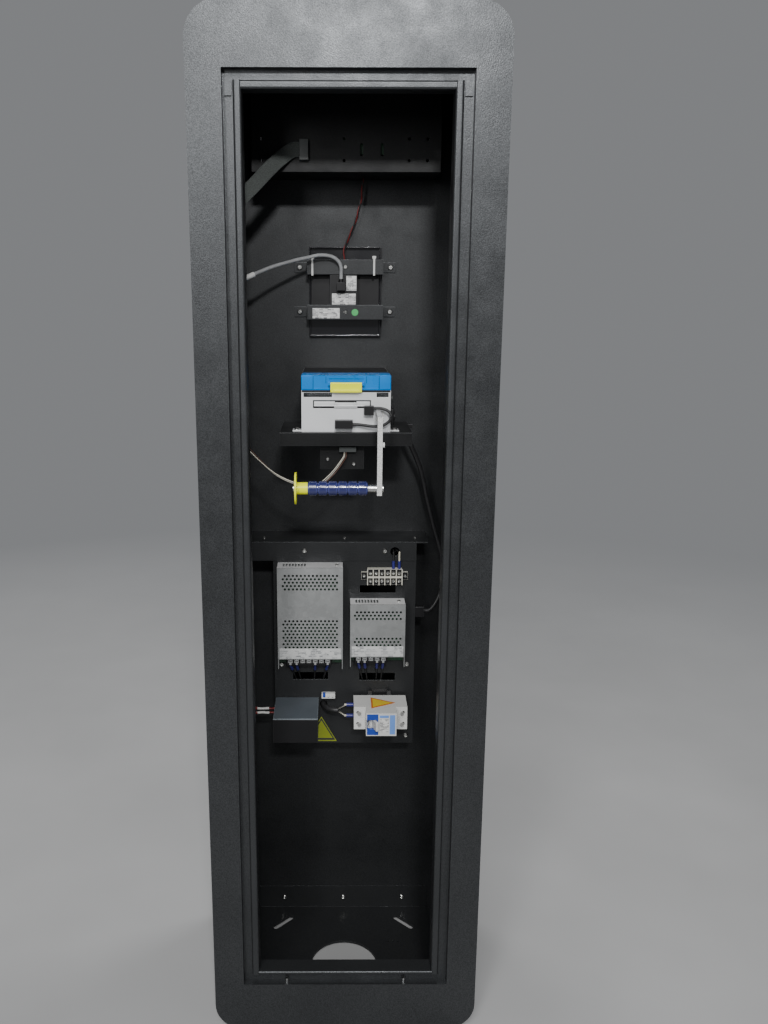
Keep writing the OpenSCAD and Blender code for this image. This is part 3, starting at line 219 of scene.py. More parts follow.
def turned_steel(name, colour, stretch=(30, 1, 1)):
    """Turned or ground steel with fine lines across its length."""
    look = Surface(name, metal=1.0)
    look.set(Base_Color=look.drift(60, 3, colour, 0.88, 1.05))
    look.set(Roughness=look.remap(look.noise(180, 2, stretch), 0.2, 0.38))
    return look.bump(look.noise(300, 2, stretch), 0.00002).material


def moulded(name, colour, rough=(0.42, 0.55), grain=0.00004, **inputs):
    """Moulded plastic with a fine grain and a slight drift in colour."""
    look = Surface(name, **inputs)
    look.set(Base_Color=look.drift(22, 3, colour, 0.92, 1.06))
    look.set(Roughness=look.remap(look.noise(55, 3), *rough))
    return look.bump(look.noise(1400, 1), grain).material


def sheath(name, colour, rough=(0.4, 0.55)):
    """Cable sheath: satin, with faint scuffs and dust."""
    look = Surface(name)
    scuff = look.ramp(look.noise(140, 4), [(0.45, colour), (0.8, tint(colour, 1.35))])
    look.set(Base_Color=scuff, Roughness=look.remap(look.noise(80, 3), *rough))
    return look.bump(look.noise(500, 2), 0.00003).material


def woven(name, colour):
    """Braided loom sleeve."""
    look = Surface(name, rough=0.75)
    weave = look.node("ShaderNodeTexBrick")
    weave.inputs["Scale"].default_value = 420
    weave.inputs["Color1"].default_value = (*tint(colour, 1.3), 1)
    weave.inputs["Color2"].default_value = (*tint(colour, 0.8), 1)
    weave.inputs["Mortar"].default_value = (*tint(colour, 0.35), 1)
    look.tree.links.new(look.turned((UPRIGHT, math.radians(38), 0)), weave.inputs["Vector"])
    look.set(Base_Color=weave.outputs["Color"])
    return look.bump(weave.outputs["Fac"], 0.0002, 0.6).material


def circuit_board(name, colour):
    """Lacquered board with paler tracks."""
    look = Surface(name, rough=0.35)
    cells = look.cells(170)
    tracks = look.ramp(cells.outputs["Distance"], [(0.18, tint(colour, 2.2)), (0.26, colour)])
    look.set(Base_Color=look.mix(0.6, tracks, look.drift(30, 3, colour, 0.7, 1.0)))
    return look.bump(cells.outputs["Distance"], 0.00005).material


def printed(name, paper, ink, scale, low, high):
    """Label film with rows of plain grey dashes in place of print."""
    look = Surface(name, rough=0.45)
    rows = look.node("ShaderNodeTexBrick", offset=0.37)
    rows.inputs["Scale"].default_value = scale
    rows.inputs["Mortar Size"].default_value = 0.05
    rows.inputs["Brick Width"].default_value = 1.3
    rows.inputs["Row Height"].default_value = 0.42
    rows.inputs["Color1"].default_value = (*ink, 1)
    rows.inputs["Color2"].default_value = (*paper, 1)
    rows.inputs["Mortar"].default_value = (*paper, 1)
    look.tree.links.new(look.turned((UPRIGHT, 0, 0)), rows.inputs["Vector"])
    where = look.remap(look.noise(scale * 0.6, 1), 0, 1, low, high)
    look.set(Base_Color=look.mix(where, paper, rows.outputs["Color"]))
    return look.bump(look.noise(900, 1), 0.00001).material


def glass(name, colour, rough=0.06, coat=1.0):
    """Polished black-backed glass with faint smears."""
    look = Surface(name, rough=rough, Coat_Weight=coat, Coat_Roughness=0.03)
    look.set(Base_Color=look.ramp(look.noise(9, 4), [(0.35, colour), (0.75, tint(colour, 1.8))]))
    look.set(Roughness=look.remap(look.noise(14, 5), rough, rough * 2.2))
    return look.material


CHARCOAL = (0.060, 0.063, 0.066)
DARK = (0.030, 0.0315, 0.033)
FLAKE = 0.7                 # metallic share of the cabinet's paint
SMOOTH = 0.00002            # height of a smooth surface's grain, in metres
SILKY = 0.00001             # the same for films and polished plastic

# Each *_edge material is a lighter copy of the one before it, for the rounded edges: a painted highlight
# along them, and on the painted metal a little edge wear as well.
MATERIALS = {
    "charcoal": powder_coat("charcoal_powder_coat", CHARCOAL, (0.33, 0.43), metal=FLAKE),
    "charcoal_edge": powder_coat("charcoal_powder_coat_edges", tint(CHARCOAL, 2.6), (0.3, 0.4),
                                 metal=FLAKE),
    "dark": powder_coat("dark_powder_coat", DARK, metal=0.5),
    "dark_edge": powder_coat("dark_powder_coat_edges", tint(DARK, 3.0), (0.32, 0.42), metal=0.5),
    "black_coat": powder_coat("black_powder_coat", tint(DARK, 0.3), metal=0.1, Specular_IOR_Level=0.25),
    "black_coat_edge": powder_coat("black_powder_coat_edges", tint(DARK, 1.4), (0.32, 0.42), metal=0.2),
    "printer": powder_coat("printer_steel", (0.74, 0.75, 0.76), (0.34, 0.44), SMOOTH, 0.25, 0.03),
    "printer_edge": powder_coat("printer_steel_edges", (0.86, 0.86, 0.86), (0.3, 0.4), SMOOTH, 0.25, 0.03),
    "zinc": zinc("zinc_plated_sheet", (0.60, 0.61, 0.61)),
    # The DIN rail is plain zinc plated sheet; its near-black colour is painted shade, as it lies in the
    # dark.
    "zinc_in_painted_shade": zinc("zinc_painted_dark", (0.07, 0.07, 0.072)),
    "alloy": zinc("supply_case_sheet", (0.43, 0.44, 0.44), (0.38, 0.52), 0.7),
    "alloy_edge": zinc("supply_case_edges", (0.6, 0.6, 0.6), (0.3, 0.4), 0.8),
    "steel": turned_steel("turned_steel", (0.66, 0.66, 0.65)),
    "screw": turned_steel("zinc_screws", (0.58, 0.58, 0.56), (1, 1, 1)),
    "light": powder_coat("light_grey_paint", (0.62, 0.62, 0.61), (0.35, 0.45), 0.00003),
    "light_edge": powder_coat("light_grey_paint_edges", (0.75, 0.75, 0.74), (0.3, 0.4), 0.00003),
    "black": moulded("black_plastic", (0.009, 0.009, 0.010), Specular_IOR_Level=0.3),
    "black_edge": moulded("black_plastic_edges", (0.035, 0.035, 0.037)),
    "white": moulded("white_plastic", (0.66, 0.66, 0.64)),
    "white_edge": moulded("white_plastic_edges", (0.78, 0.78, 0.76)),
    "cream": moulded("cream_plastic", (0.62, 0.60, 0.52)),
    "cream_edge": moulded("cream_plastic_edges", (0.72, 0.70, 0.62)),
    "blue_cover": moulded("blue_cover", (0.0, 0.20, 0.62), (0.24, 0.36), SMOOTH, Specular_IOR_Level=0.2),
    "blue_cover_edge": moulded("blue_cover_edges", (0.01, 0.36, 0.86), (0.2, 0.3), SMOOTH),
    "blue_seam_shade": moulded("blue_cover_seam_shade", (0.004, 0.06, 0.16), (0.4, 0.5), SMOOTH),
    "yellow": moulded("yellow_latch", (0.92, 0.97, 0.008), (0.25, 0.38), SMOOTH, Specular_IOR_Level=0.25),
    "yellow_edge": moulded("yellow_latch_edges", (0.95, 0.96, 0.12), (0.25, 0.38), SMOOTH,
                           Specular_IOR_Level=0.3),
    "violet": moulded("violet_core", (0.022, 0.027, 0.115), (0.12, 0.25), SILKY, Coat_Weight=0.6),
    "violet_edge": moulded("violet_core_edges", (0.075, 0.09, 0.30), (0.12, 0.25), SILKY, Coat_Weight=0.6),
    "blue": moulded("blue_insert", (0.012, 0.055, 0.36), (0.25, 0.38), SMOOTH),
    "blue_edge": moulded("blue_insert_edges", (0.05, 0.16, 0.6), (0.25, 0.38), SMOOTH),
    "blue_pale": moulded("pale_blue_film", (0.16, 0.32, 0.74), (0.25, 0.38), SMOOTH),
    "sleeve": moulded("blue_sleeves", (0.030, 0.032, 0.18), (0.25, 0.4), SMOOTH),
    "dull_grey": moulded("dull_grey_plastic", (0.050, 0.056, 0.055), (0.45, 0.6)),
    "grey": moulded("grey_plastic", (0.095, 0.112, 0.13), (0.3, 0.4)),
    "grey_edge": moulded("grey_plastic_edges", (0.26, 0.3, 0.33)),
    "label_yellow": moulded("yellow_film", (0.26, 0.31, 0.012), (0.3, 0.4), SILKY),
    "label_warm": moulded("warm_yellow_film", (0.78, 0.56, 0.03), (0.3, 0.4), SILKY),
    "label_border": moulded("orange_film", (0.60, 0.17, 0.02), (0.3, 0.4), SILKY),
    "label_ink": moulded("black_film", (0.03, 0.03, 0.03), (0.35, 0.5), SILKY),
    "green_dot": moulded("green_film", (0.06, 0.42, 0.12), (0.3, 0.4), SILKY),
    "print": printed("printed_label", (0.72, 0.72, 0.70), (0.12, 0.12, 0.13), 220, 0.35, 0.45),
    "rating": printed("rating_strip", (0.62, 0.63, 0.62), (0.25, 0.26, 0.27), 160, 0.42, 0.5),
    "board": circuit_board("circuit_board", (0.015, 0.085, 0.035)),
    "rubber": moulded("black_rubber", (0.018, 0.018, 0.018), (0.65, 0.8)),
    "iron": turned_steel("machined_head", (0.3, 0.31, 0.32)),
    "glass": glass("touch_glass", (0.006, 0.006, 0.008)),
    "window": glass("smoked_window", (0.012, 0.012, 0.014), 0.1, 0.5),
    "screen": moulded("panel_edge", (0.02, 0.02, 0.022), (0.3, 0.4)),
    "cable_grey": sheath("grey_sheath", (0.27, 0.275, 0.28)),
    "cable_black": sheath("black_sheath", (0.018, 0.018, 0.019)),
    "lead_red": sheath("red_sheath", (0.17, 0.010, 0.010)),
    "wire_cream": sheath("cream_sheath", (0.60, 0.57, 0.48)),
    "wire_grey": sheath("pale_grey_sheath", (0.34, 0.32, 0.28)),
    "wire_brown": sheath("brown_sheath", (0.085, 0.035, 0.022)),
    "loom": woven("loom_sleeve", (0.085, 0.095, 0.09)),
}

# ---- Cords: the same points as the CAD routes, in metres ----

READER_ROUTE = [
    (-0.006, 0.097, 1.050), (-0.006, 0.097, 1.057), (-0.006, 0.096, 1.065), (-0.009, 0.095, 1.073),
    (-0.016, 0.093, 1.079), (-0.026, 0.091, 1.082), (-0.039, 0.088, 1.082), (-0.052, 0.084, 1.079),
    (-0.066, 0.078, 1.076), (-0.080, 0.070, 1.072), (-0.094, 0.062, 1.068), (-0.108, 0.054, 1.063),
    (-0.122, 0.046, 1.057), (-0.136, 0.039, 1.051), (-0.151, 0.033, 1.046), (-0.166, 0.030, 1.043),
    (-0.176, 0.030, 1.043)]
LEAD_ROUTE = [
    (0.024, 0.112, 1.187), (0.024, 0.112, 1.178), (0.023, 0.112, 1.167), (0.021, 0.113, 1.155),
    (0.018, 0.114, 1.142), (0.014, 0.116, 1.129), (0.009, 0.118, 1.117), (0.004, 0.120, 1.106),
    (0.000, 0.122, 1.096), (-0.002, 0.123, 1.087), (-0.002, 0.123, 1.077)]
LOOM_ROUTE = [
    (-0.062, 0.031, 1.214), (-0.069, 0.031, 1.214), (-0.077, 0.029, 1.210), (-0.089, 0.022, 1.200),
    (-0.102, 0.015, 1.187), (-0.116, 0.009, 1.172), (-0.130, 0.005, 1.158), (-0.145, 0.002, 1.145),
    (-0.159, 0.000, 1.135), (-0.169, 0.000, 1.132), (-0.176, 0.000, 1.132)]
SENSOR_ROUTE = [
    (-0.176, 0.005, 0.866), (-0.169, 0.005, 0.866), (-0.158, 0.001, 0.855), (-0.146, -0.006, 0.839),
    (-0.131, -0.014, 0.823), (-0.114, -0.022, 0.807), (-0.096, -0.029, 0.793), (-0.078, -0.034, 0.784),
    (-0.062, -0.036, 0.779), (-0.047, -0.036, 0.777), (-0.034, -0.034, 0.780), (-0.023, -0.030, 0.788),
    (-0.013, -0.024, 0.798), (-0.005, -0.017, 0.808), (-0.001, -0.012, 0.814), (-0.001, -0.012, 0.820)]
SIDE_ROUTE = [
    (0.091, 0.078, 0.839), (0.091, 0.078, 0.831), (0.096, 0.081, 0.815), (0.104, 0.087, 0.797),
    (0.112, 0.093, 0.777), (0.118, 0.097, 0.755), (0.123, 0.099, 0.732), (0.129, 0.100, 0.709),
    (0.135, 0.100, 0.686), (0.142, 0.100, 0.663), (0.148, 0.100, 0.640), (0.151, 0.098, 0.617),
    (0.150, 0.095, 0.597), (0.145, 0.091, 0.579), (0.137, 0.086, 0.565), (0.129, 0.083, 0.558),
    (0.121, 0.083, 0.558)]
PRINTER_ROUTE = [
    (0.009, -0.023, 0.859), (0.016, -0.023, 0.859), (0.026, -0.025, 0.858), (0.037, -0.027, 0.857),
    (0.047, -0.028, 0.858), (0.054, -0.028, 0.861), (0.059, -0.028, 0.866), (0.060, -0.028, 0.872),
    (0.057, -0.027, 0.877), (0.051, -0.026, 0.880), (0.044, -0.024, 0.881), (0.037, -0.024, 0.881)]


def smooth_path(route, per_span=4):
    """Catmull-Rom curve through a route's points."""
    p = [Vector(q) for q in route]
    p = [2 * p[0] - p[1]] + p + [2 * p[-1] - p[-2]]
    line = []
    for a, b, c, d in zip(p, p[1:], p[2:], p[3:]):
        for i in range(per_span):
            t = i / per_span
            line.append(0.5 * (2 * b + (c - a) * t + (2 * a - 5 * b + 4 * c - d) * t * t
                               + (3 * b - a - 3 * c + d) * t ** 3))
    return line + [p[-2]]


def sweep(bm, line, half_w, half_t, facing, sides=12, shift=(0.0, 0.0), twist=0.0, material=0):
    """Adds a closed tube of elliptic section along a line.

    shift moves it sideways in the section, and twist turns that shift by so many radians a metre.
    """
    rings = []
    travelled = 0.0
    for i, point in enumerate(line):
        ahead = (line[min(i + 1, len(line) - 1)] - line[max(i - 1, 0)]).normalized()
        side = ahead.cross(facing).normalized()
        up = side.cross(ahead)
        if i:
            travelled += (point - line[i - 1]).length
        turn = twist * travelled
        off_x = shift[0] * math.cos(turn) - shift[1] * math.sin(turn)
        off_y = shift[0] * math.sin(turn) + shift[1] * math.cos(turn)
        middle = point + side * off_x + up * off_y
        rings.append([bm.verts.new(middle + side * half_w * math.cos(math.tau * k / sides)
                                   + up * half_t * math.sin(math.tau * k / sides)) for k in range(sides)])
    faces = []
    for a, b in zip(rings, rings[1:]):
        for k in range(sides):
            faces.append(bm.faces.new((a[k], a[(k + 1) % sides], b[(k + 1) % sides], b[k])))
    faces.append(bm.faces.new(reversed(rings[0])))
    faces.append(bm.faces.new(rings[-1]))
    for face in faces:
        face.smooth = True
        face.material_index = material


def mesh_object(name, bm, *materials, body="cabinet", slot=None):
    """Turns a bmesh into a piece that rides on a body."""
    bmesh.ops.recalc_face_normals(bm, faces=bm.faces)
    mesh = bpy.data.meshes.new(name)
    bm.to_mesh(mesh)
    bm.free()
    for material in materials:
        mesh.materials.append(MATERIALS[material])
    mesh.set_sharp_from_angle(angle=math.radians(38))
    piece = bpy.data.objects.new(name, mesh)
    bpy.context.scene.collection.objects.link(piece)
    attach(piece, body)
    return piece


ALONG_Y = Vector((0, 1, 0))
ALONG_Z = Vector((0, 0, 1))


def round_cord(node, route, radius, material, slot, facing=ALONG_Y):
    """A plain round cable along a route, in place of its CAD node."""
    line = smooth_path(route)
    bm = bmesh.new()
    sweep(bm, line, radius, radius, facing)
    piece = mesh_object(node + "_cord", bm, material, slot=slot)
    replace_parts(piece, node)
    return piece


def make_cords():
    """Makes the six cables that hang inside the cabinet."""
    round_cord("reader_cable", READER_ROUTE, 0.0026, "cable_grey", "cable_grey")
    round_cord("side_cable", SIDE_ROUTE, 0.0035, "cable_black", "cable_dark")
    round_cord("printer_cable", PRINTER_ROUTE, 0.0020, "cable_black", "cable_dark", ALONG_Z)
    # Display lead: a red and a black wire twisted together
    wire = 0.0009
    line = smooth_path(LEAD_ROUTE)
    bm = bmesh.new()
    for k, aside in enumerate((wire, -wire)):
        sweep(bm, line, wire, wire, ALONG_Y, 10, (aside, 0.0), twist=220, material=k)
    lead = mesh_object("display_lead_cord", bm, "lead_red", "cable_black", slot="lead_red")
    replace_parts(lead, "display_lead")
    # Flat braided loom
    loom_half_w, loom_half_t = 0.0095, 0.0012
    line = smooth_path(LOOM_ROUTE)
    bm = bmesh.new()
    sweep(bm, line, loom_half_w, loom_half_t, ALONG_Y, 20)
    loom = mesh_object("flat_loom_cord", bm, "loom", slot="loom_grey")
    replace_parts(loom, "flat_loom")
    # Sensor wires: three thin wires side by side, loosely turned about each other
    wire, spread, rise = 0.0006, 0.0019, 0.0010
    line = smooth_path(SENSOR_ROUTE)
    bm = bmesh.new()
    for k in range(3):
        sweep(bm, line, wire, wire, ALONG_Y, 10, (spread * (k - 1), rise * (k % 2)), twist=16, material=k)
    wires = mesh_object("sensor_wires_cord", bm, "wire_cream", "wire_grey", "wire_brown", slot="wires_tan")
    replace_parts(wires, "sensor_wires")


make_cords()

# ---- CAD parts: rounded copies of what has visible edges, and materials on the rest ----

# node: (body, material, slot, edge radius in millimetres)
ROUNDED = {
    "cabinet_shell": ("cabinet", "charcoal", "charcoal_paint", 0.5),
    "service_frame": ("cabinet", "charcoal", "charcoal_paint", 0.6),
    "front_panel": ("cabinet", "charcoal", "charcoal_paint", 0.6),
    "base_plate": ("cabinet", "dark", "dark_paint", 0.5),
    "display_housing": ("cabinet", "black_coat", "black_paint", 0.4),
    "loom_socket": ("cabinet", "dull_grey", "grey_plastic", 0.6),
    "reader_body": ("cabinet", "black", "black_plastic", 0.8),
    "reader_bars": ("cabinet", "dark", "black_paint", 0.4),
    "reader_plug": ("cabinet", "black", "black_plastic", 0.8),
    "printer_shelf": ("cabinet", "black_coat", "dark_paint", 0.4),
    "printer_body": ("cabinet", "printer", "zinc_steel", 0.3),
    "printer_cover": ("cover", "blue_cover", "blue_cover", 0.8),
    "cover_latch": ("latch", "yellow", "yellow_plastic", 1.2),
    "printer_plugs": ("cabinet", "black", "black_plastic", 0.5),
    "paper_arm": ("cabinet", "light", "light_steel", 0.2),
    "sensor_bracket": ("cabinet", "black_coat", "dark_paint", 0.3),
    "sensor_connector": ("cabinet", "dull_grey", "grey_plastic", 0.4),
    "cross_shelf": ("cabinet", "dark", "dark_paint", 0.5),
    "equipment_plate": ("cabinet", "dark", "dark_paint", 0.4),
    "psu_large_case": ("cabinet", "alloy", "zinc_steel", 0.25),
    "psu_small_case": ("cabinet", "alloy", "zinc_steel", 0.25),
    "terminal_block": ("cabinet", "cream", "cream_plastic", 0.25),
    "breaker_body": ("cabinet", "white", "white_plastic", 0.7),
    "breaker_insert": ("cabinet", "blue", "blue_plastic", 0.3),
    "breaker_toggle": ("toggle", "white", "white_plastic", 0.5),
    "filter_box": ("cabinet", "black", "black_plastic", 0.5),
    "filter_lid": ("cabinet", "grey", "grey_plastic", 0.5),
    "cable_clips": ("cabinet", "black", "black_plastic", 0.6),
    "receipt_bezel": ("cabinet", "black", "black_plastic", 0.6),
    "touch_glass": ("cabinet", "glass", "touch_glass", 0.4),
    "reader_window": ("cabinet", "window", "dark_window", 0.5),
    "spindle_core": ("spindle", "violet", "violet_plastic", 0.5),
    "spindle_flange": ("spindle", "yellow", "yellow_plastic", 0.4),
    "psu_large_board": ("cabinet", "board", "board_green", 0.0),
    "psu_small_board": ("cabinet", "board", "board_green", 0.0),
    "power_leads": ("cabinet", "cable_black", "cable_dark", 0.0),
}
PLAIN = {
    "door_pegs": "steel", "display_panel": "screen", "controller_board": "board", "reader_ties": "white",
    "cover_hinge_pin": "steel", "platen_roller": "rubber", "print_head": "iron", "paper_cutter": "zinc",
    "spindle_shaft": "steel",
    "plate_standoffs": "steel", "psu_large_cover": "alloy", "psu_small_cover": "alloy",
    "crimp_sleeves": "sleeve", "din_rail": "zinc_in_painted_shade", "m4_screws": "screw", "m3_screws": "screw",
}
MM = 0.001
TERMINAL_PITCH = 9.4        # millimetres between the terminals of a supply
SHARP = math.radians(30)    # edges that turn more than this are rounded


def board_strip(node):
    """Finds the terminal strip of a supply's board."""
    strip_height, strip_depth = 13 * MM, 9 * MM
    low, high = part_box(node)
    return lambda centre, normal: centre.z < low.z + strip_height and centre.y < high.y - strip_depth


def block_recess(centre, normal):
    """Finds the recessed fields of the terminal block, which are drawn black as painted shade."""
    return normal.y < -0.9 and centre.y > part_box("terminal_block")[0].y + 2 * MM


def rear_of_printer(centre, normal):
    """Finds the printer's raised block and what lies deep inside it."""
    return centre.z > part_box("printer_cover")[0].z - 0.4 * MM and centre.y > -16 * MM


def inside_of_shell(centre, normal):
    """Finds the faces of the bent shell that look inwards, which take the darker paint as painted shade."""
    return normal.x * centre.x + normal.z * (centre.z - cad_high.z / 2) < 0


def pale_leads(centre, normal):
    """Finds the pale leads: the mains cores, and every other short lead above them."""
    if centre.y > 66 * MM:             # close to the equipment plate every lead is drawn black: painted shade at the back
        return False
    mains_core = centre.x > -3 * MM and centre.z < 420 * MM
    every_other = int(centre.x / MM / TERMINAL_PITCH) % 2 == 0
    return mains_core or centre.z > 440 * MM and every_other


# Faces with a second material: node: (material, test of a face's centre and normal)
ACCENTS = {
    # The shell's inner faces and the front panel's inner face take the darker paint: painted shade inside
    # the cabinet.
    "cabinet_shell": ("dark", inside_of_shell),
    "front_panel": ("dark", lambda centre, normal: normal.y < -0.9),
    # The supplies' top faces take the pale printer edge paint: a painted highlight where the overhead light
    # falls on them.
    "psu_large_case": ("printer_edge", lambda centre, normal: normal.z > 0.9),
    "psu_small_case": ("printer_edge", lambda centre, normal: normal.z > 0.9),
    "psu_large_board": ("black", board_strip("psu_large_board")),
    "psu_small_board": ("black", board_strip("psu_small_board")),
    "terminal_block": ("black", block_recess),
    "printer_body": ("black", rear_of_printer),
    "power_leads": ("wire_cream", pale_leads),
}


def rounded_copy(node, body, material, slot, radius):
    """A copy of a CAD node whose sharp edges are rounded, with a lighter material along them as a painted
    highlight.
    """
    accent, belongs = ACCENTS.get(node, (material, lambda centre, normal: False))
    bm = bmesh.new()
    bm.from_mesh(nodes[node].data)
    bmesh.ops.remove_doubles(bm, verts=bm.verts, dist=2e-6)
    bmesh.ops.dissolve_limit(bm, angle_limit=math.radians(0.6), verts=bm.verts, edges=bm.edges)
    for face in bm.faces:
        face.material_index = 2 if belongs(face.calc_center_median(), face.normal) else 0
        face.smooth = True
    if radius:
        edges = [e for e in bm.edges if e.is_manifold and e.calc_face_angle(0) > SHARP]
        bmesh.ops.bevel(bm, geom=edges, offset=radius * MM, segments=2, profile=0.6, affect="EDGES",
                        clamp_overlap=True, material=1)
    # Bevel faces take the lighter edge copy where the material has one: a painted highlight along the edges
    edge = material + "_edge" if material + "_edge" in MATERIALS else material
    piece = mesh_object(node + "_piece", bm, material, edge, accent, body=body, slot=slot)
    modifier = piece.modifiers.new("normals", "WEIGHTED_NORMAL")
    modifier.keep_sharp = True
    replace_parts(piece, node)
    return piece


def finish_cad_parts():
    """Rounds the parts with visible edges and gives the others their material."""
    for node, (body, material, slot, radius) in ROUNDED.items():
        rounded_copy(node, body, material, slot, radius)
    for node, material in PLAIN.items():
        mesh = nodes[node].data
        mesh.materials.clear()
        mesh.materials.append(MATERIALS[material])


finish_cad_parts()

# ---- Small pieces that the CAD parts carry ----


def add_block(bm, low, high, radius=0.3, material=0):
    """Adds a block with rounded edges. Corners and radius in millimetres."""
    low, high = Vector(low) * MM, Vector(high) * MM
    place = Matrix.Translation((low + high) / 2) @ Matrix.Diagonal((*(high - low), 1))
    verts = bmesh.ops.create_cube(bm, size=1, matrix=place)["verts"]
    for face in {f for v in verts for f in v.link_faces}:
        face.material_index = material
    edges = list({e for v in verts for e in v.link_edges})
    bmesh.ops.bevel(bm, geom=edges, offset=radius * MM, segments=3, profile=0.6, affect="EDGES",
                    clamp_overlap=True, material=-1)


def add_prism(bm, outline, start, end, material=0, smooth=False):
    """Adds a closed prism between two copies of an outline. start and end place a point of it."""
    first, last = [[bm.verts.new(Vector(place(*p)) * MM) for p in outline] for place in (start, end)]
    faces = [bm.faces.new((first[i - 1], first[i], last[i], last[i - 1])) for i in range(len(outline))]
    for face in faces:
        face.smooth = smooth
    faces += [bm.faces.new(list(reversed(first))), bm.faces.new(last)]
    for face in faces:
        face.material_index = material


def circle(radius, sides=28, teeth=0, depth=0.0):
    """Outline of a disc, or of a toothed wheel when teeth is given."""
    if not teeth:
        return [(radius * math.cos(math.tau * i / sides), radius * math.sin(math.tau * i / sides))
                for i in range(sides)]
    outline = []
    tooth_points = ((0.0, radius), (0.22, radius), (0.36, radius - depth), (0.86, radius - depth))
    for tooth in range(teeth):
        for part, reach in tooth_points:
            angle = math.tau * (tooth + part) / teeth
            outline.append((reach * math.cos(angle), reach * math.sin(angle)))
    return outline


def add_disc_x(bm, x0, x1, centre, outline, material=0):
    """Adds a disc, or any outline, between two places along X. centre is its Y and Z."""
    y, z = centre
    add_prism(bm, outline, lambda u, v: (x0, y + u, z + v), lambda u, v: (x1, y + u, z + v), material,
              smooth=True)


def add_disc_y(bm, y0, y1, centre, outline, material=0):
    """Adds a disc, or any outline, between two places along Y. centre is its X and Z."""
    x, z = centre
    add_prism(bm, outline, lambda u, v: (x + u, y0, z + v), lambda u, v: (x + u, y1, z + v), material,
              smooth=True)


def box_mm(node):
    """The corners of a CAD node's box in millimetres."""
    low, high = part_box(node)
    return low / MM, high / MM


FILM = 0.2                  # thickness of a label
FILM_EDGE = 0.1             # its edge radius
PAINTED_SHADOW_THICKNESS = 0.25            # thickness of the black strips of painted shadow that stand in for gaps


def add_film(bm, face, left, right, bottom, top, material=0):
    """Adds a label on a face that looks to the service side. face is that face's Y."""
    add_block(bm, (left, face - FILM, bottom), (right, face, top), FILM_EDGE, material)


def reader_details():
    """Labels, a green dot, screws, and the pale sleeve on the cable."""
    low, high = box_mm("reader_bars")
    bars = low.y                       # service face of the clamp bars
    body = box_mm("reader_body")[0].y  # service face of the reader
    bm = bmesh.new()
    add_film(bm, bars, -47, -8, low.z + 1.6, low.z + 16)
    add_film(bm, body, -19, 15, low.z + 21, low.z + 36.5)
    add_film(bm, body, 1.5, 16, low.z + 40.5, low.z + 61)
    mesh_object("reader_labels", bm, "print", slot="white_plastic")
    half_bar = 10                      # from a bar's outer edge to its middle
    bm = bmesh.new()
    add_disc_y(bm, bars - FILM, bars, (14, low.z + half_bar), circle(4.8))
    mesh_object("reader_dot", bm, "green_dot", slot="white_plastic")
    # Pale sleeve on the reader's cable
    sleeve_x, sleeve_radius = -0.131, 0.0036
    line = smooth_path(READER_ROUTE)
    near = min(range(len(line)), key=lambda i: abs(line[i].x - sleeve_x))
    bm = bmesh.new()
    sweep(bm, line[near - 2:near + 3], sleeve_radius, sleeve_radius, ALONG_Y, 20)
    mesh_object("reader_cable_sleeve", bm, "white", slot="white_plastic")
    # A screw in each bar: a round head and a hexagon on it
    bm = bmesh.new()
    for z in (low.z + half_bar, high.z - half_bar):
        add_disc_y(bm, bars - 1.4, bars, (0, z), circle(2.3))
        add_disc_y(bm, bars - 1.9, bars - 1.3, (0, z), circle(1.5, 6))
    mesh_object("reader_bar_screws", bm, "screw", slot="screw_steel")


def printer_details():
    """Painted shadow in the gaps, paper guide, gearbox and roller wheel."""
    low = box_mm("printer_body")[0]
    face = low.y
    guide_left, guide_right = -43, 32
    end_z0, end_z1 = low.z + 35.5, low.z + 41.5
    # Black strips of painted shadow: in the recess behind the paper guide, and in the gap under the cover
    rim = 1.5
    gap_half = 59.4
    bm = bmesh.new()
    add_block(bm, (guide_left - rim, face - PAINTED_SHADOW_THICKNESS, low.z + 32.4),
              (guide_right + rim, face, low.z + 43), FILM_EDGE)
    add_block(bm, (-gap_half, face - PAINTED_SHADOW_THICKNESS, low.z + 53.6), (gap_half, face, low.z + 56.2), FILM_EDGE)
    mesh_object("printer_painted_shadows", bm, "black", slot="black_plastic")
    # Paper guide: a strip in three parts with a lip, held off the printer's face by two pegs
    back, front = face - 1.4, face - 2.2
    parts = (
        (guide_left, -15, end_z0, end_z1),
        (-16, 15, low.z + 33, low.z + 40),
        (14, guide_right, end_z0, end_z1),
    )
    bm = bmesh.new()
    for x0, x1, z0, z1 in parts:
        add_block(bm, (x0, front, z0), (x1, back, z1), 0.25)
    add_block(bm, (guide_left, face - 3.0, low.z + 35), (guide_right, back, low.z + 36), 0.3)
    for x in (-12.5, 11.5):
        peg = (x, low.z + 38.5)
        add_disc_y(bm, face - 1.5, face + 1, peg, circle(1.2))
        add_disc_y(bm, face - 3.2, face - 2.1, peg, circle(2.0))
        add_disc_y(bm, face - 3.8, face - 3.1, peg, circle(1.4))
    mesh_object("paper_guide", bm, "printer", slot="zinc_steel")
    # Gearbox on the printer's right side: a housing, and two gears with hubs on it
    roller_low, roller_high = box_mm("platen_roller")
    side = roller_high.x
    bm = bmesh.new()
    add_block(bm, (side + 0.2, -10, low.z + 8), (side + 5, 22, low.z + 30), 1.2)
    for y, radius in ((-2, 6), (12, 8)):
        axle = (y, low.z + 19)
        add_disc_x(bm, side + 4.8, side + 6.4, axle, circle(radius))
        add_disc_x(bm, side + 6.2, side + 7.4, axle, circle(radius * 0.4))
    mesh_object("printer_gearbox", bm, "black", slot="black_plastic")
    # The roller's own wheel, above it
    middle = (roller_low + roller_high) / 2
    bm = bmesh.new()
    add_disc_x(bm, side + 0.3, side + 3.4, (middle.y, middle.z), circle(8.2, teeth=22, depth=1.3))
    add_disc_x(bm, side + 3.2, side + 4.6, (middle.y, middle.z), circle(3.4))
    mesh_object("platen_wheel", bm, "dull_grey", body="platen", slot="grey_plastic")


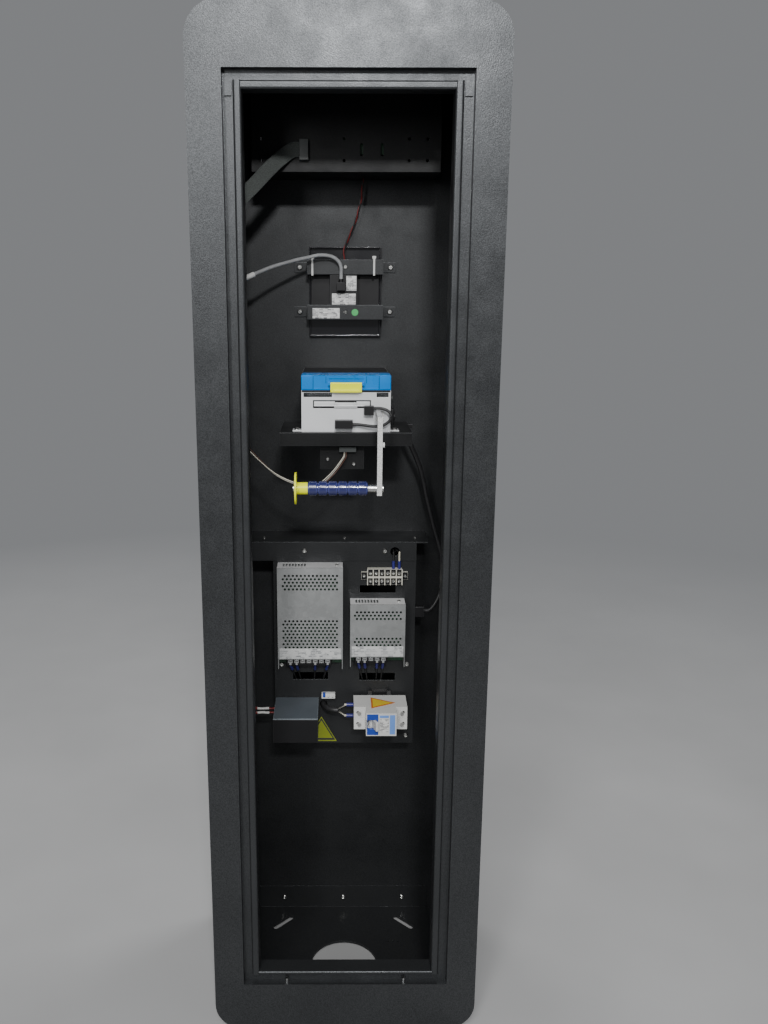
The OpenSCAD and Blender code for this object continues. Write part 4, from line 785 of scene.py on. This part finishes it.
def cover_details():
    """Raised fields at both ends of the printer cover, dark strips of painted shade for the seams beside
    them, and a lower lip.
    """
    low, high = box_mm("printer_cover")
    face = box_mm("printer_body")[0].y
    field_in, field_out = 44.6, 59.6
    seam, short_seam = 44.1, 27
    bm = bmesh.new()
    for side in (-1, 1):
        x0, x1 = sorted((side * field_in, side * field_out))
        add_block(bm, (x0, face - 0.9, low.z + 1), (x1, face + 0.5, high.z - 1.2), 0.4)
        add_block(bm, (x0 + 1, face + 2, high.z - 0.4), (x1 - 1, face + 36, high.z + 0.7), 0.4)
        # The seams are dark blue strips: painted shade in the grooves
        for x, half, proud, bottom in ((side * seam, 0.35, 0.25, 0.8), (side * short_seam, 0.3, 0.2, 9)):
            add_block(bm, (x - half, face - proud, low.z + bottom), (x + half, face + 0.3, high.z - 0.8),
                      FILM_EDGE, 1)
    add_block(bm, (-44, face - 0.6, low.z + 0.6), (44, face + 0.4, low.z + 3), 0.3)
    mesh_object("cover_fields", bm, "blue_cover", "blue_seam_shade", body="cover", slot="blue_cover")


def supply_details(name, first_x, terminals, used):
    """Rating strip and terminals of a supply. used numbers the terminals that hold a lead."""
    low, high = box_mm("psu_%s_cover" % name)
    strip_low = box_mm("psu_%s_board" % name)[0]
    inset = 2.5
    bm = bmesh.new()
    add_film(bm, low.y, low.x + inset, high.x - inset, low.z + 1, low.z + 17.5)
    mesh_object("psu_%s_strip" % name, bm, "rating", slot="white_plastic")
    front = strip_low.y + 4            # face of the strip between its dividers
    z = strip_low.z + 7
    bm = bmesh.new()
    for i in range(terminals):
        x = first_x + i * TERMINAL_PITCH
        # Clamp plate, screw head, and a black strip for the slot in it: painted shade
        add_block(bm, (x - 3.6, front - 0.8, z - 2.4), (x + 3.6, front + 0.2, z + 5.2), 0.25)
        add_disc_y(bm, front - 2.2, front - 0.7, (x, z + 1), circle(2.7, 20))
        add_block(bm, (x - 2.3, front - 2.5, z + 0.6), (x + 2.3, front - 2.1, z + 1.4), 0.08, 1)
        if i in used:
            add_block(bm, (x - 1.7, front - 2, z - 5), (x + 1.7, front - 0.7, z - 1), 0.3)
    mesh_object("psu_%s_terminals" % name, bm, "zinc", "black", slot="zinc_steel")


def breaker_details():
    """Coloured films, a rating label and the clamp screws."""
    low, high = box_mm("breaker_body")
    bm = bmesh.new()
    add_film(bm, low.y, 66.5, 74.5, low.z + 2.5, high.z - 2.5)
    add_film(bm, low.y, 51.5, 65, high.z - 7, high.z - 3)
    mesh_object("breaker_film", bm, "blue_pale", slot="blue_plastic")
    bm = bmesh.new()
    add_film(bm, low.y, 52, 65, low.z + 5, high.z - 9)
    mesh_object("breaker_rating", bm, "print", slot="white_plastic")
    # Screws down the four clamp wells
    well_x, well_z = 8, 9              # from the body's ends and from its lower and upper faces
    bm = bmesh.new()
    for x in (low.x + well_x, high.x - well_x):
        for z in (low.z + well_z, high.z - well_z):
            add_disc_y(bm, 17.0, 19.4, (x, z), circle(2.6, 20))
    mesh_object("breaker_clamps", bm, "screw", slot="screw_steel")


def connector_details():
    """Lever connector on the equipment plate, above the mains lead. One of its levers is blue."""
    plate = box_mm("equipment_plate")[0].y
    z = box_mm("filter_lid")[1].z + 1.5
    bm = bmesh.new()
    add_block(bm, (-35, plate - 9, z), (-14, plate, z + 8), 0.8)
    for x, material in ((-31, 1), (-24.5, 0), (-18, 0)):
        add_block(bm, (x - 2, plate - 10, z + 3), (x + 2, plate - 4, z + 8.8), 0.5, material)
        # A black disc under each lever for its wire opening: painted shade in the hole
        add_disc_y(bm, plate - 9.3, plate - 8.6, (x, z + 3.4), circle(1.3, 16), 2)
    mesh_object("lever_connector", bm, "white", "blue", "black", slot="white_plastic")


def filter_lead_details():
    """Red leads with shrink sleeves and pale ferrules, from the wall to the filter box."""
    low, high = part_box("filter_leads")
    middle = (low + high) / 2
    inset = 0.002                      # from the pair's outer face to the middle of a lead
    # from, to, radius, material
    parts = (
        (low.x, -0.150, 0.0014, 0),
        (-0.152, -0.133, 0.0021, 0),
        (-0.1335, -0.115, 0.0019, 1),
        (-0.116, high.x, 0.0014, 0),
    )
    bm = bmesh.new()
    for z, bend in ((low.z + inset, 0.0004), (high.z - inset, -0.0004)):
        for x0, x1, radius, material in parts:
            line = [Vector((x0 + (x1 - x0) * i / 4, middle.y, z + bend * math.sin(i))) for i in range(5)]
            sweep(bm, line, radius, radius, ALONG_Y, 16, material=material)
    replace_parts(mesh_object("filter_lead_pair", bm, "lead_red", "white", slot="lead_red"), "filter_leads")


def caution_details():
    """Plain triangles with a border and no print."""
    low, high = box_mm("caution_labels")
    plate = box_mm("equipment_plate")[0].y
    bm = bmesh.new()
    # On the equipment plate: film, dark ring and inner field, each a little prouder
    x, half, height = low.x + 24, 24, 42
    for inset, proud, material in ((0, 0.4, 0), (2.2, 0.5, 1), (5.4, 0.6, 0)):
        corner_inset = 1.207 * inset
        aside = half - corner_inset
        bottom = low.z + inset
        outline = [(x - aside, bottom), (x + aside, bottom), (x, low.z + height - corner_inset)]
        add_prism(bm, outline, lambda u, v: (u, plate, v), lambda u, v, d=proud: (u, plate - d, v),
                  material)
    # On top of the breaker: border and inner field. Its point looks to the right
    x, y, reach, half = high.x - 32, 35.5, 37, 19
    top = high.z
    for inset, proud, material in ((0, -0.1, 2), (2.6, 0.05, 3)):
        aside = half - 1.7 * inset
        outline = [(x + inset, y - aside), (x + reach - 2.3 * inset, y), (x + inset, y + aside)]
        add_prism(bm, outline, lambda u, v: (u, v, top - 0.4), lambda u, v, r=proud: (u, v, top + r),
                  material)
    piece = mesh_object("caution_films", bm, "label_yellow", "label_ink", "label_border", "label_warm",
                        slot="label_yellow")
    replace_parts(piece, "caution_labels")


def add_details():
    """Adds every small piece. The supplies name their first terminal, count and leads."""
    reader_details()
    printer_details()
    cover_details()
    supply_details("large", -81.9, 7, (0, 1, 4, 6))
    supply_details("small", 21.0, 5, (0, 1, 3, 4))
    breaker_details()
    connector_details()
    filter_lead_details()
    caution_details()


add_details()

# ---- Floor and light ----

FLOOR_HALF = 40.0
FLOOR_DROP = 0.0005         # the floor lies this far under the base, so that they never share a face
FLOOR_GREYS = [(0.3, (0.36, 0.36, 0.36)), (0.7, (0.40, 0.40, 0.40))]
FADE = (0.8, 2.8)           # distances between which the floor fades out
WORLD_COLOUR = (0.80, 0.82, 0.85, 1)
WORLD_STRENGTH = 0.27


def make_stage():
    """A pale floor that passes into the background without an edge."""
    bm = bmesh.new()
    bmesh.ops.create_grid(bm, x_segments=2, y_segments=2, size=FLOOR_HALF)
    mesh = bpy.data.meshes.new("floor")
    bm.to_mesh(mesh)
    bm.free()
    floor = bpy.data.objects.new("floor", mesh)
    floor.location.z = cad_low.z - FLOOR_DROP
    look = Surface("pale_floor", rough=0.8)
    look.set(Base_Color=look.ramp(look.noise(3, 3), FLOOR_GREYS))
    # Far from the object the floor takes the world's own colour, so that no horizon shows
    far = look.node("ShaderNodeVectorMath", operation="LENGTH")
    look.tree.links.new(look.coords, far.inputs[0])
    sky = look.node("ShaderNodeEmission")
    sky.inputs["Color"].default_value = WORLD_COLOUR
    sky.inputs["Strength"].default_value = WORLD_STRENGTH
    fade = look.node("ShaderNodeMixShader")
    look.tree.links.new(look.remap(far.outputs["Value"], 0, 1, *FADE), fade.inputs["Fac"])
    look.tree.links.new(look.bsdf.outputs["BSDF"], fade.inputs[1])
    look.tree.links.new(sky.outputs["Emission"], fade.inputs[2])
    look.tree.links.new(fade.outputs["Shader"], look.tree.nodes["Material Output"].inputs["Surface"])
    mesh.materials.append(look.material)
    bpy.context.scene.collection.objects.link(floor)


def area_light(name, at, aim, size, power):
    """A soft rectangular lamp at one point, turned to another."""
    light = bpy.data.lights.new(name, "AREA")
    light.shape = "RECTANGLE"
    light.size, light.size_y = size
    light.energy = power
    lamp = bpy.data.objects.new(name, light)
    lamp.location = at
    lamp.rotation_euler = (Vector(aim) - Vector(at)).to_track_quat("-Z", "Y").to_euler()
    lamp.visible_camera = False
    bpy.context.scene.collection.objects.link(lamp)


def make_lights():
    """Five soft lamps and a pale world."""
    area_light("key", (-0.4, -2.2, 2.85), (0.0, 0.0, 1.1), (1.1, 0.7), 42)
    area_light("sheen", (0.15, -2.5, 2.12), (0.05, 0.0, 1.25), (0.26, 0.14), 40)
    area_light("fill", (-0.95, -2.9, 1.7), (0.0, 0.0, 1.0), (0.4, 1.0), 18)
    area_light("rim", (2.4, 1.8, 2.6), (0.0, 0.0, 0.8), (1.4, 1.4), 40)
    area_light("back", (-1.8, 2.6, 1.8), (0.0, 0.0, 0.8), (1.6, 1.6), 36)
    world = bpy.data.worlds.new("studio")
    world.use_nodes = True
    world.node_tree.nodes["Background"].inputs["Color"].default_value = WORLD_COLOUR
    world.node_tree.nodes["Background"].inputs["Strength"].default_value = WORLD_STRENGTH
    bpy.context.scene.world = world


make_stage()
make_lights()
